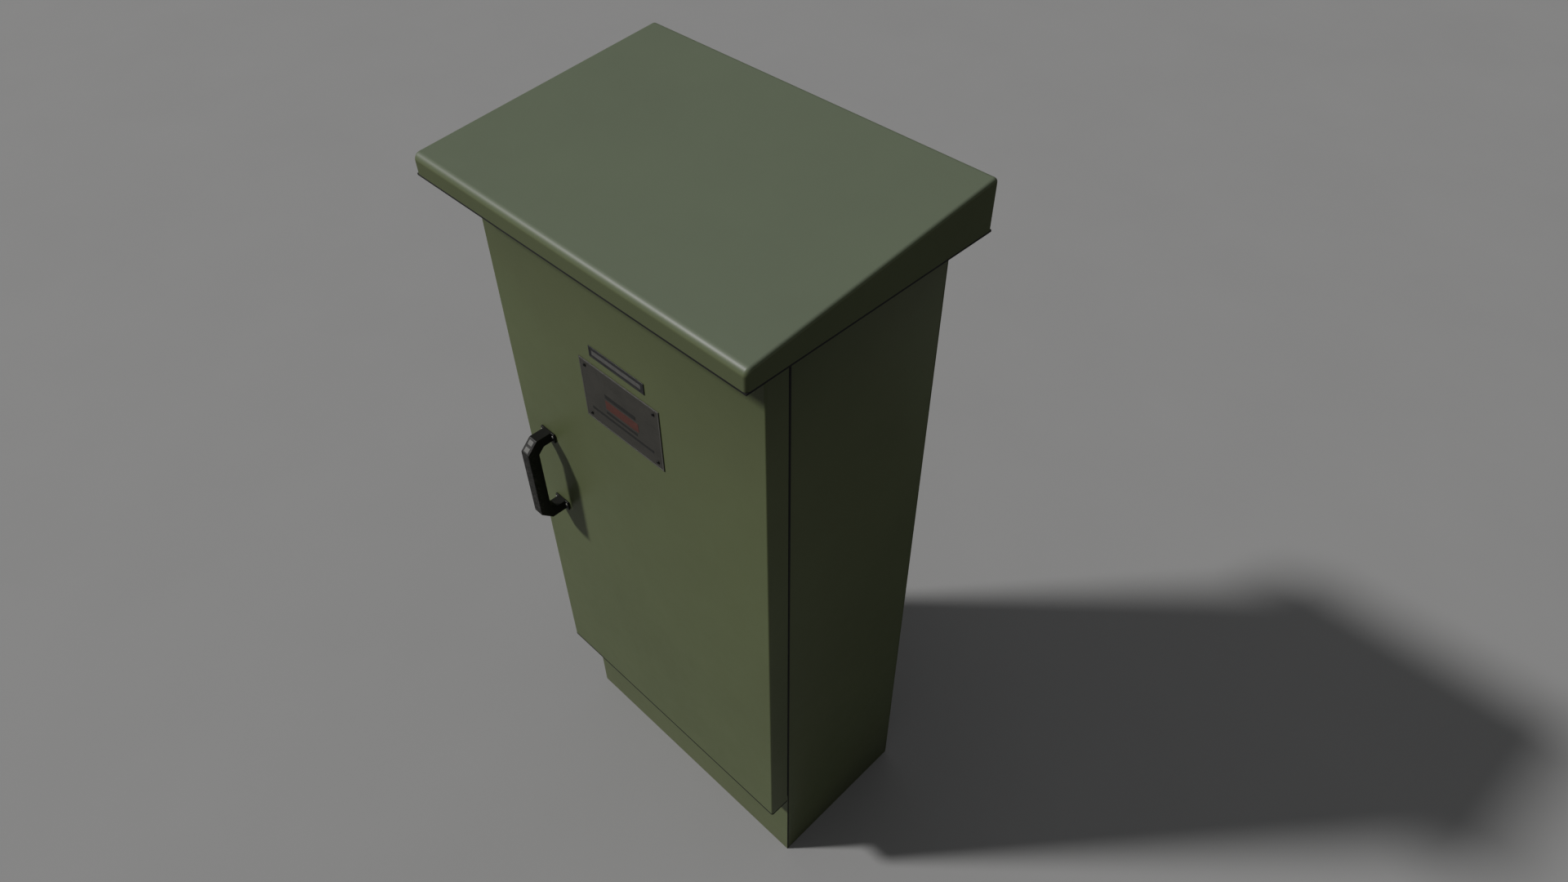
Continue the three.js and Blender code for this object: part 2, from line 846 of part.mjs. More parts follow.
// Mounting plate with folded edges on four stand-offs from the rear panel.
function mountingPlate() {
  const p = plate;
  const sheet = block([-p.x, p.x], [p.front, p.front + p.thick], [p.low, p.high]);
  const folds = [-1, 1].map((side) => {
    const edge = side * p.x;
    const innerEdge = side * (p.x - p.thick);
    return block(
      [Math.min(edge, innerEdge), Math.max(edge, innerEdge)],
      [p.front, p.front + p.fold],
      [p.low, p.high],
    );
  });
  const posts = [-1, 1].flatMap((side) => {
    const x = side * (p.x - post.inset.x);
    return [p.low + post.inset.z, p.high - post.inset.z].map((z) =>
      rod([x, p.front + 1, z], [x, inside.back, z], post.radius, 12),
    );
  });
  return join(sheet, ...folds, ...posts);
}

add("mounting_plate", mountingPlate(), finish.galvanised);

const isolator = {
  x: -190,
  z: 1500,
  width: 150,
  height: 190,
  depth: 95,
  collar: 36,
  shoulder: { height: 34, depth: 26 }, // the steps over its terminals
};
const knob = { radius: 33, thick: 14, gripWidth: 13, gripReach: 20, shaft: 6 };
const isolatorFace = gearBack - isolator.depth;
const collarFace = isolatorFace - 5;

function isolatorBody() {
  const s = isolator;
  const box = block(
    [s.x - s.width / 2, s.x + s.width / 2],
    [isolatorFace, gearBack],
    [s.z - s.height / 2, s.z + s.height / 2],
  );
  const shoulders = [-1, 1].map((side) => {
    const near = s.z + side * (s.height / 2 - s.shoulder.height);
    const far = s.z + side * (s.height / 2 + 5);
    return block(
      [s.x - s.width, s.x + s.width],
      [isolatorFace - 5, isolatorFace + s.shoulder.depth],
      [Math.min(near, far), Math.max(near, far)],
    );
  });
  const collar = rod([s.x, isolatorFace + 1, s.z], [s.x, collarFace, s.z], s.collar, 32);
  const bore = rod([s.x, collarFace - 5, s.z], [s.x, collarFace + 20, s.z], knob.shaft + 0.5, 16);
  return cut(join(cut(box, ...shoulders), collar), bore);
}

// Rotary handle: a disc with a grip bar across it, on a shaft that enters the switch.
function isolatorKnob() {
  const s = isolator;
  const back = collarFace - 0.5;
  const face = back - knob.thick;
  const disc = rod([s.x, back, s.z], [s.x, face, s.z], knob.radius, 32);
  const grip = block(
    [s.x - knob.gripWidth / 2, s.x + knob.gripWidth / 2],
    [face - knob.gripReach, face + 1],
    [s.z - knob.radius + 1, s.z + knob.radius + 6],
  );
  const shaft = rod([s.x, back - 1, s.z], [s.x, collarFace + 16, s.z], knob.shaft, 16);
  return join(disc, grip, shaft);
}

add("isolator_body", isolatorBody(), finish.switchBody);
add("isolator_knob", isolatorKnob(), finish.knobRed);

// A circuit breaker: a case with a raised nose, and a toggle on a barrel in a slot in that nose.
function breakerFrame(size) {
  const nose = gearBack - size.offset - size.depth;
  return {
    ...size,
    back: gearBack - size.offset,
    nose,
    shoulder: nose + size.noseDepth,
    pivot: nose + size.barrel + 1,
  };
}

function breakerCase(b) {
  const half = b.width / 2;
  const across = [b.x - half, b.x + half];
  const upright = (height) => [b.z - height / 2, b.z + height / 2];
  const base = block(across, [b.shoulder, b.back], upright(b.height));
  const nose = block(across, [b.nose, b.shoulder + 1], upright(b.noseHeight));
  const slotHalf = b.toggleWidth / 2 + 0.8;
  const slotHeight = b.barrel + 3;
  const slot = block(
    [b.x - slotHalf, b.x + slotHalf],
    [b.nose - 5, b.pivot + b.barrel + 1],
    [b.z - slotHeight, b.z + slotHeight],
  );
  return cut(join(base, nose), slot);
}

const TOGGLE_TILT = THREE.MathUtils.degToRad(25);

// The toggle is drawn level, then tilted up to the closed position about its barrel.
function breakerToggle(b) {
  const half = b.toggleWidth / 2;
  const barrel = rod([-half, 0, 0], [half, 0, 0], b.barrel, 16);
  const lever = block(
    [-b.leverWidth / 2, b.leverWidth / 2],
    [-b.leverReach, 0],
    [-b.leverThick / 2, b.leverThick / 2],
  );
  const turn = new THREE.Matrix4().makeRotationX(-TOGGLE_TILT);
  turn.setPosition(b.x, b.pivot, b.z);
  return join(barrel, lever).transform(turn.elements);
}

const feeder = breakerFrame({
  x: 165,
  z: 1500,
  width: 105,
  height: 165,
  depth: 92,
  offset: 0,
  noseHeight: 92,
  noseDepth: 12,
  barrel: 9,
  toggleWidth: 26,
  leverWidth: 18,
  leverReach: 32,
  leverThick: 7,
});
add("feeder_breaker", breakerCase(feeder), finish.switchBody);
add("feeder_toggle", breakerToggle(feeder), finish.toggleBlack);

const rail = { z: 1230, x: 240, height: 35, depth: 7.5 };

// Top-hat rail: the web is against the mounting plate and the two edges stand forward.
function dinRail() {
  const back = gearBack;
  const thick = 1;
  const half = rail.height / 2;
  const web = half - 5;
  const points = [
    [back, rail.z - web],
    [back, rail.z + web],
    [back - rail.depth + thick, rail.z + web],
    [back - rail.depth + thick, rail.z + half],
    [back - rail.depth, rail.z + half],
    [back - rail.depth, rail.z + web - thick],
    [back - thick, rail.z + web - thick],
    [back - thick, rail.z - web + thick],
    [back - rail.depth, rail.z - web + thick],
    [back - rail.depth, rail.z - half],
    [back - rail.depth + thick, rail.z - half],
    [back - rail.depth + thick, rail.z - web],
  ];
  return profileAlongX(points, [-rail.x, rail.x]);
}

add("din_rail", dinRail(), finish.galvanised);

const branch = { count: 3, pitch: 66, x: -5 };
for (let i = 0; i < branch.count; i += 1) {
  const breaker = breakerFrame({
    x: branch.x + (i - (branch.count - 1) / 2) * branch.pitch,
    z: rail.z,
    width: 54,
    height: 86,
    depth: 62,
    offset: rail.depth + GAP,
    noseHeight: 45,
    noseDepth: 14,
    barrel: 6,
    toggleWidth: 44,
    leverWidth: 40,
    leverReach: 17,
    leverThick: 4,
  });
  add(`branch_breaker_${i + 1}`, breakerCase(breaker), finish.moduleBody);
  add(`branch_toggle_${i + 1}`, breakerToggle(breaker), finish.toggleBlack);
}

const duct = { x: 300, low: 1318, high: 1372, depth: 60, wall: 2, slotPitch: 50, slotHalf: 6 };

// Slotted wiring duct between the two rows, open along its upper and lower combs.
function cableDuct() {
  const { x, low, high, depth, wall, slotPitch, slotHalf } = duct;
  const back = gearBack;
  const points = shift(channelPoints(-depth + wall, low, high, wall), back, 0);
  const tray = profileAlongX(points, [-x, x]);
  const lid = block([-x, x], [back - depth, back - depth + wall + 0.5], [low, high]);
  const slots = [];
  const slotDepth = [back - depth + 8, back - 14];
  for (let at = -x + slotPitch / 2; at < x; at += slotPitch) {
    slots.push(block([at - slotHalf, at + slotHalf], slotDepth, [low - 5, high + 5]));
  }
  return cut(join(tray, lid), ...slots);
}

add("cable_duct", cableDuct(), finish.ductGrey);

const bars = { half: 110, thick: 8, halfHeight: 12, standOff: 34, z: 1060, screws: 8 };
const barFoot = { at: 88, half: 9, halfHeight: 10 };
const barScrew = { inset: 14, radius: 5, proud: 5 };

// Copper bar on two insulating feet, with a row of clamp screws standing out of it.
function terminalBar(x) {
  const { half, thick, halfHeight, standOff, z, screws } = bars;
  const front = gearBack - standOff;
  const bar = block([x - half, x + half], [front, front + thick], [z - halfHeight, z + halfHeight]);
  const feet = [-1, 1].map((side) => {
    const at = x + side * barFoot.at;
    const across = [at - barFoot.half, at + barFoot.half];
    const upright = [z - barFoot.halfHeight, z + barFoot.halfHeight];
    return block(across, [front + thick - 1, gearBack], upright);
  });
  const heads = [];
  const first = x - half + barScrew.inset;
  const pitch = (2 * (half - barScrew.inset)) / (screws - 1);
  for (let i = 0; i < screws; i += 1) {
    const at = first + i * pitch;
    heads.push(rod([at, front + 1, z], [at, front - barScrew.proud, z], barScrew.radius, 8));
  }
  return join(bar, ...feet, ...heads);
}

add("neutral_bar", terminalBar(-150), finish.copper);
add("earth_bar", terminalBar(150), finish.copper);

// ---------------------------------------------------------------------------------------------
// Power leads, held in cleats
// ---------------------------------------------------------------------------------------------

const LEAD_RADIUS = 7;
const cleat = { z: 1160, halfHeight: 12, margin: 9, postHalf: 6, postSpread: 18 };
const terminalY = 120; // how far back the switches' lower terminals sit
const studTip = boardFront - stud.length;

// Leads from a row of studs up to a row of terminals, held in one cleat on the mounting plate.
function harness(studs, terminals, terminalZ) {
  const leads = studs.map((x, i) => {
    const end = terminals[i];
    const lugY = studTip - GAP - LEAD_RADIUS;
    return lead(
      [
        [x, lugY, studHeight - 8],
        [x, lugY, studHeight + 60],
        [(x + end) / 2, (lugY + terminalY) / 2, (studHeight + cleat.z) / 2 + 20],
        [end, terminalY, cleat.z],
        [end, terminalY, terminalZ],
      ],
      LEAD_RADIUS,
    );
  });
  const edge = LEAD_RADIUS + cleat.margin;
  const height = [cleat.z - cleat.halfHeight, cleat.z + cleat.halfHeight];
  const clampBar = block(
    [Math.min(...terminals) - edge, Math.max(...terminals) + edge],
    [terminalY - edge + 4, terminalY + edge - 4],
    height,
  );
  const posts = [-1, 1].map((side) => {
    const x = terminals[1] + side * cleat.postSpread;
    return block([x - cleat.postHalf, x + cleat.postHalf], [terminalY + edge - 5, gearBack], height);
  });
  return join(...leads, clampBar, ...posts);
}

const isolatorTerminals = [-50, 0, 50].map((step) => isolator.x + step);
const feederTerminals = [-35, 0, 35].map((step) => feeder.x + step);
const isolatorFoot = isolator.z - isolator.height / 2 - GAP;
const feederFoot = feeder.z - feeder.height / 2 - GAP;
const primaryHarness = harness(primaryStuds, isolatorTerminals, isolatorFoot);
const secondaryHarness = harness(secondaryStuds.slice(1), feederTerminals, feederFoot);
add("primary_harness", primaryHarness, finish.leadBlack);
add("secondary_harness", secondaryHarness, finish.leadBlack);

export default transformerCabinet;
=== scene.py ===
"""Looks for the outdoor transformer cabinet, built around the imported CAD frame.

+Z is up and the door faces -Y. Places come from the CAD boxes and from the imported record. Shapes are written
in millimetres and become metres when their mesh is made. Finishes, lights and the camera are in metres.
"""

import json
from itertools import product
from math import cos, pi, radians, sin, tan

import bmesh
import bpy
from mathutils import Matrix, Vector


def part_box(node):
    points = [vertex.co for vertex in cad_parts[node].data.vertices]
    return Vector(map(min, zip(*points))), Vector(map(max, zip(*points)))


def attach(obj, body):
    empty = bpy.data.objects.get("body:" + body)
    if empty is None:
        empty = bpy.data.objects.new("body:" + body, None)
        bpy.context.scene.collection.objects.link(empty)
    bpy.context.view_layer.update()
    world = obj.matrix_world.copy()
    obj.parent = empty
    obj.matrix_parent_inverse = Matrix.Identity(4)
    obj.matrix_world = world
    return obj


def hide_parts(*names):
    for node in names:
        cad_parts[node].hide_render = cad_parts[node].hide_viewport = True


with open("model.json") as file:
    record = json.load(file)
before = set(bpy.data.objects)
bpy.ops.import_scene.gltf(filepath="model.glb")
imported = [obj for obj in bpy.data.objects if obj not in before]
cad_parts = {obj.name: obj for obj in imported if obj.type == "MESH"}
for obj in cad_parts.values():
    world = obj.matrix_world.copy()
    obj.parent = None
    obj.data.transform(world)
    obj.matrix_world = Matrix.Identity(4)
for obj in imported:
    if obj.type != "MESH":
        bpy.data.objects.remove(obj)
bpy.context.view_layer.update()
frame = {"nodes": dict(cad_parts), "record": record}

MM = 0.001
COLLECTION = bpy.context.scene.collection
CABINET = "cabinet"
DOOR = "door"
STEEL = ("galvanised", "bright_steel")
TINNED = ("copper", "tinned_copper")


# ---- Places ----

UP = Vector((0, 0, 1))
FRONT = Vector((0, -1, 0))
BACK = Vector((0, 1, 0))
RIGHT = Vector((1, 0, 0))


def around(middle, reach):
    """The two values at a distance from a middle one."""
    return middle - reach, middle + reach


def spread(first, last, count):
    """Evenly spaced values, both ends included."""
    return [first + (last - first) * i / (count - 1) for i in range(count)]


class Box:
    """A CAD node's box at rest in millimetres, with its sides by name."""

    def __init__(self, node):
        low, high = (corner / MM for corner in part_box(node))
        self.left, self.front, self.bottom = low
        self.right, self.back, self.top = high
        self.x, self.y, self.z = (low + high) / 2
        self.width = self.right - self.left

    def sides(self, inset):
        """The left and right sides, moved inwards."""
        return self.left + inset, self.right - inset

    def levels(self, inset):
        """The bottom and top, moved inwards."""
        return self.bottom + inset, self.top - inset


class Place:
    """A spot on a face. Seen from outside, x runs right and y runs up, and z points out of the face."""

    def __init__(self, x, y, z, out=FRONT, up=None):
        outward = out.normalized()
        level = abs(outward.z) == 1
        right = (up or (BACK if level else UP)).cross(outward).normalized()
        self.origin = Vector((x, y, z))
        self.axes = (right, outward.cross(right), outward)

    def point(self, x, y, z):
        right, upright, outward = self.axes
        return self.origin + right * x + upright * y + outward * z


# ---- Node-tree helpers ----

class Shader:
    """A node tree with short calls for the nodes that the finishes and the sky use."""

    def __init__(self, name, owners=bpy.data.materials, coordinates="Object"):
        self.owner = owners.new(name)
        self.owner.use_nodes = True
        self.tree = self.owner.node_tree
        self.coords = self.node("TexCoord", coordinates)

    def node(self, kind, output, inputs=(), **settings):
        """Adds a node and gives one of its outputs."""
        made = self.tree.nodes.new(f"ShaderNode{kind}")
        for key, value in settings.items():
            setattr(made, key, value)
        for socket, value in dict(inputs).items():
            self.feed(made.inputs[socket], value)
        return made.outputs[output]

    def feed(self, socket, value):
        """Links another node to a socket, or sets its value. Colours are given without their alpha."""
        if isinstance(value, bpy.types.NodeSocket):
            self.tree.links.new(value, socket)
        else:
            socket.default_value = (*value, 1) if socket.type == "RGBA" else value

    def noise(self, scale, detail=2.0, roughness=0.5, stretch=None):
        """Noise over the object coordinates, which may be stretched along each axis."""
        vector = self.coords
        if stretch:
            vector = self.node("Mapping", "Vector", {"Vector": vector, "Scale": stretch})
        inputs = {"Vector": vector, "Scale": scale, "Detail": detail, "Roughness": roughness}
        return self.node("TexNoise", "Fac", inputs)

    def wave(self, scale, distortion, direction):
        inputs = {"Vector": self.coords, "Scale": scale, "Distortion": distortion}
        return self.node("TexWave", "Fac", inputs, bands_direction=direction)

    def ramp(self, value, *stops):
        """Maps a value between two stops of (position, colour)."""
        made = self.node("ValToRGB", "Color", {"Fac": value})
        for element, (position, colour) in zip(made.node.color_ramp.elements, stops):
            element.position = position
            element.color = (*shade(colour, 1), 1)
        return made

    def shades(self, value, colour, dark, light, low=0.3, high=0.7):
        """A darker and a lighter shade of one colour, by a value."""
        return self.ramp(value, (low, shade(colour, dark)), (high, shade(colour, light)))

    def patches(self, value, low, high):
        """0 below the low value and 1 above the high one."""
        return self.ramp(value, (low, 0.0), (high, 1.0))

    def between(self, value, low, high, start=0.0, end=1.0):
        """Maps a value from start..end onto low..high."""
        inputs = {"Value": value, "From Min": start, "From Max": end, "To Min": low, "To Max": high}
        return self.node("MapRange", "Result", inputs)

    def math(self, operation, a, b):
        return self.node("Math", "Value", {0: a, 1: b}, operation=operation)

    def times(self, a, b):
        return self.math("MULTIPLY", a, b)

    def mix(self, factor, a, b):
        return self.node("Mix", 2, {0: factor, 6: a, 7: b}, data_type="RGBA")

    def axis(self, index, vector=None):
        """One value of a vector, which is the object coordinates unless it is given."""
        return self.node("SeparateXYZ", index, {"Vector": vector or self.coords})

    def normal(self):
        return self.node("NewGeometry", "Normal")

    def edge(self, width):
        """1 on edges that stand out within the width, 0 on flat faces."""
        rounded_off = self.node("Bevel", "Normal", {"Radius": width}, samples=6)
        normals = {0: rounded_off, 1: self.normal()}
        dot = self.node("VectorMath", "Value", normals, operation="DOT_PRODUCT")
        return self.between(self.math("SUBTRACT", 1.0, dot), 0.0, 1.0, 0.08, 0.35)

    def bump(self, height, strength, distance, **below):
        inputs = {"Height": height, "Strength": strength, "Distance": distance, **below}
        return self.node("Bump", "Normal", inputs)

    def finish(self, color, roughness, normal, **constants):
        """Feeds the shader. Constants are its sockets' names in small letters, with underscores."""
        bsdf = self.tree.nodes["Principled BSDF"]
        inputs = {"Base Color": color, "Roughness": roughness, "Normal": normal}
        for name, value in constants.items():
            inputs[name.replace("_", " ").title().replace("Ior", "IOR")] = value
        for socket, value in inputs.items():
            self.feed(bsdf.inputs[socket], value)
        return self.owner


def shade(colour, factor):
    """A colour made lighter or darker. A plain number stands for a grey."""
    values = colour if isinstance(colour, tuple) else (colour, colour, colour)
    return tuple(min(1.0, value * factor) for value in values)


# ---- Finishes ----

OLIVE = (0.105, 0.131, 0.063)
# Chalked paint on upward faces, paler and cooler: partly chalking, partly painted sky light on the tops.
CHALK_AND_SKY_LIGHT = (0.112, 0.138, 0.113)
DUST = (0.16, 0.15, 0.115)
EDGE_WEAR = 0.0022
# Painted shade under the canopy: upright faces between these heights are darkened to stand in for the canopy's
# shade.
CANOPY_SHADE_HEIGHTS = (1.5, 1.87)  # heights in metres between which upright faces darken towards the canopy


def powder_coat(name, colour, wear=0.35, dust=0.25, sheen=0.18, roughness=(0.35, 0.45), dull_sides=0.0):
    """Satin powder coat: orange peel, cloudy fading, chalk and painted sky light on top, painted shade under
    the canopy, rubbed edges, dust near the ground.
    """
    s = Shader(name)
    up = s.axis(2, s.normal())
    height = s.axis(2)
    tone = s.shades(s.noise(2.1, 4.0, 0.6), colour, 0.93, 1.08)
    tone = s.mix(s.between(s.noise(9.0, 3.0, 0.55), 0.0, 0.22), tone, shade(colour, 1.16))
    tone = s.mix(s.times(s.patches(s.noise(950.0, 1.0), 0.66, 0.74), 0.16), tone, shade(colour, 1.9))
    # upward faces blend into the chalk colour: chalking together with painted sky light
    tone = s.mix(s.between(up, 0.0, 0.55, 0.2, 0.85), tone, CHALK_AND_SKY_LIGHT)
    # painted shade: upright faces just under the canopy are darkened towards half their colour
    painted_canopy_shade = s.times(s.between(height, 0.0, 0.36, *CANOPY_SHADE_HEIGHTS), s.between(up, 1.0, 0.0, 0.0, 0.3))
    tone = s.mix(painted_canopy_shade, tone, shade(colour, 0.5))
    film = s.between(s.noise(14.0, 5.0, 0.65), 0.2, 1.0)
    film = s.times(s.between(height, dust, 0.0, 0.0, 0.16), film)
    tone = s.mix(film, tone, DUST)
    rubbed = s.times(s.edge(EDGE_WEAR), s.between(s.noise(38.0, 4.0), 0.0, 1.0, 0.42, 0.62))
    tone = s.mix(s.times(rubbed, wear), tone, shade(colour, 2.1))
    gloss = s.math("ADD", s.between(s.noise(26.0, 4.0, 0.6), *roughness), s.times(film, 0.3))
    gloss = s.math("ADD", gloss, s.between(up, dull_sides, 0.0, 0.1, 0.4))
    dents = s.bump(s.noise(5.0, 1.0), 0.12, 0.004)
    peel = s.bump(s.noise(420.0, 2.0, 0.45), 0.16, 0.0005, Normal=dents)
    return s.finish(tone, gloss, peel, specular_ior_level=sheen)


def zinc(name, base=(0.42, 0.44, 0.45)):
    """Hot-dip zinc: overlapping spangles of slightly different greys, dull and directional."""
    s = Shader(name)
    spangle = s.node("TexVoronoi", "Color", {"Vector": s.coords, "Scale": 130.0})
    red, green, blue = (s.node("SeparateColor", i, {"Color": spangle}) for i in range(3))
    tone = s.mix(red, shade(base, 0.86), shade(base, 1.12))
    bloom = s.patches(s.noise(11.0, 5.0, 0.7), 0.5, 0.75)
    tone = s.mix(s.times(bloom, 0.35), tone, (0.56, 0.57, 0.57))
    return s.finish(tone, s.between(green, 0.33, 0.55), s.bump(blue, 0.06, 0.0004), metallic=0.85)


def oxidised_steel(name, base=(0.028, 0.03, 0.029)):
    """Blackened steel with a rubbed sheen on its edges."""
    s = Shader(name)
    tone = s.shades(s.noise(55.0, 4.0), base, 0.7, 1.5, high=0.75)
    tone = s.mix(s.times(s.edge(0.0012), 0.6), tone, (0.24, 0.24, 0.23))
    roughness = s.between(s.noise(80.0, 3.0), 0.34, 0.5)
    return s.finish(tone, roughness, s.bump(s.noise(600.0), 0.12, 0.0003), metallic=0.7)


def bright_steel(name, base=(0.5, 0.5, 0.49), roughness=(0.22, 0.38), metallic=1.0):
    """Machined or plated steel of screws, nuts and pins, with fine turning lines."""
    s = Shader(name)
    lines = s.noise(40.0, stretch=(1.0, 1.0, 30.0))
    tone = s.shades(lines, base, 0.8, 1.1)
    return s.finish(tone, s.between(lines, *roughness), s.bump(lines, 0.08, 0.0003), metallic=metallic)


def moulded(name, base, gloss=(0.4, 0.5), grain=750.0, wear=0.0):
    """Moulded plastic with a spark-eroded grain, slight mottling and optional rubbed edges."""
    s = Shader(name)
    mottle = s.noise(60.0, 3.0)
    tone = s.shades(mottle, base, 0.9, 1.1)
    if wear:
        scuff = s.between(s.noise(160.0, 5.0, 0.7), 0.0, 1.0, 0.45, 0.62)
        tone = s.mix(s.times(s.times(s.edge(EDGE_WEAR), scuff), wear), tone, (0.35, 0.35, 0.33))
    return s.finish(tone, s.between(mottle, *gloss), s.bump(s.noise(grain, 2.0, 0.6), 0.14, 0.0004))


def rubber(name, base=0.018):
    """Dull elastomer with bloom and fine pitting."""
    s = Shader(name)
    bloom = s.noise(32.0, 4.0)
    tone = s.shades(bloom, base, 1.0, 2.4, 0.35, 0.8)
    return s.finish(tone, s.between(bloom, 0.72, 0.9), s.bump(s.noise(1100.0), 0.25, 0.0004))


def scuffed_handle(name):
    """Black nylon of the pull handle: matt, polished and greyed where hands rub it."""
    s = Shader(name)
    front = Box("pull_handle").front * MM
    facing = s.between(s.axis(1), 1.0, 0.0, front, front + 0.022)
    patches = s.between(s.noise(120.0, 6.0, 0.75), 0.0, 1.0, 0.44, 0.6)
    fine = s.between(s.noise(300.0, 4.0, 0.7), 0.1, 1.4, 0.42, 0.6)
    polish = s.times(s.times(s.times(facing, patches), fine), 0.55)
    edges = s.times(s.times(s.edge(0.003), patches), 0.65)
    rub = s.math("MAXIMUM", polish, edges)
    tone = s.mix(rub, (0.0062, 0.0064, 0.005), (0.078, 0.073, 0.067))
    grain = s.bump(s.noise(520.0, 3.0), 0.2, 0.0004)
    return s.finish(tone, s.between(rub, 0.5, 0.36), grain, specular_ior_level=0.3)


def anodised_plate(name, base=(0.049, 0.047, 0.04)):
    """Weathered notice plate: brushed grain, dull patches and stains."""
    s = Shader(name)
    brushed = s.noise(240.0, 3.0, stretch=(0.05, 1.0, 1.0))
    cloud = s.noise(24.0, 5.0, 0.65)
    tone = s.mix(s.between(brushed, 0.0, 0.35), s.shades(cloud, base, 0.8, 1.25), shade(base, 1.7))
    stains = s.patches(s.noise(70.0, 6.0, 0.72), 0.56, 0.7)
    tone = s.mix(s.times(stains, 0.4), tone, (0.03, 0.028, 0.024))
    return s.finish(tone, s.between(cloud, 0.38, 0.55), s.bump(brushed, 0.1, 0.0003), metallic=0.35)


def laminated_steel(name):
    """Varnished electrical steel: the edges of the laminations show as fine lines across the stack."""
    s = Shader(name)
    lines = s.wave(330.0, 0.6, "Y")
    tone = s.ramp(lines, (0.0, (0.035, 0.036, 0.036)), (1.0, (0.12, 0.122, 0.12)))
    rust = s.patches(s.noise(30.0, 6.0, 0.7), 0.58, 0.72)
    tone = s.mix(s.times(rust, 0.5), tone, (0.13, 0.062, 0.03))
    return s.finish(tone, 0.42, s.bump(lines, 0.35, 0.0004), metallic=0.6, coat_weight=0.3)


def cast_resin(name):
    """Red-brown cast epoxy over the high-voltage conductors: glossy, with faint turns showing through."""
    s = Shader(name)
    turns = s.wave(42.0, 0.3, "Z")
    cloud = s.noise(18.0, 4.0)
    tone = s.ramp(cloud, (0.3, (0.13, 0.034, 0.018)), (0.75, (0.2, 0.058, 0.03)))
    tone = s.mix(s.between(turns, 0.0, 0.25), tone, (0.28, 0.1, 0.05))
    tone = s.mix(s.times(s.noise(45.0, 5.0, 0.7), 0.14), tone, (0.3, 0.27, 0.22))
    return s.finish(tone, s.between(cloud, 0.24, 0.36), s.bump(turns, 0.22, 0.0006), coat_weight=0.25)


def wound_foil(name):
    """Copper foil winding with its insulating film: thin rings of copper and amber."""
    s = Shader(name)
    layers = s.wave(180.0, 0.5, "Z")
    tone = s.ramp(layers, (0.0, (0.2, 0.075, 0.03)), (1.0, (0.55, 0.27, 0.13)))
    return s.finish(tone, 0.36, s.bump(layers, 0.3, 0.0004), metallic=0.75, coat_weight=0.4)


def copper(name, base=(0.53, 0.24, 0.125)):
    """Bare copper bar going brown, with drawing lines along it."""
    s = Shader(name)
    lines = s.noise(160.0, stretch=(0.04, 1.0, 1.0))
    tone = s.shades(s.noise(36.0, 5.0, 0.65), base, 0.6, 1.08)
    return s.finish(tone, s.between(lines, 0.26, 0.42), s.bump(lines, 0.1, 0.0003), metallic=1.0)


def phenolic(name):
    """Brown laminate board with faint cloth weave and paper flecks."""
    s = Shader(name)
    weave = s.node("TexChecker", "Fac", {"Vector": s.coords, "Scale": 900.0})
    tone = s.ramp(s.noise(210.0, 5.0, 0.65), (0.3, (0.13, 0.06, 0.026)), (0.7, (0.22, 0.115, 0.052)))
    return s.finish(tone, 0.4, s.bump(weave, 0.08, 0.0003))


def matt_sheet(name, colour, gloss=0.5):
    """Flat printed or engraved field with slight weathering."""
    s = Shader(name)
    tone = s.shades(s.noise(95.0, 6.0, 0.72), colour, 0.72, 1.0, 0.32, 0.62)
    return s.finish(tone, gloss, s.bump(s.noise(700.0), 0.1, 0.0002))


PHASE_SHEATHS = {
    "brown_sheath": (0.085, 0.032, 0.014),
    "black_sheath": 0.012,
    "grey_sheath": (0.21, 0.215, 0.22),
}
OTHER_SHEATHS = {
    "blue_sheath": (0.02, 0.075, 0.27),
    "green_sheath": (0.022, 0.17, 0.045),
    "yellow_sheath": (0.62, 0.47, 0.03),
}


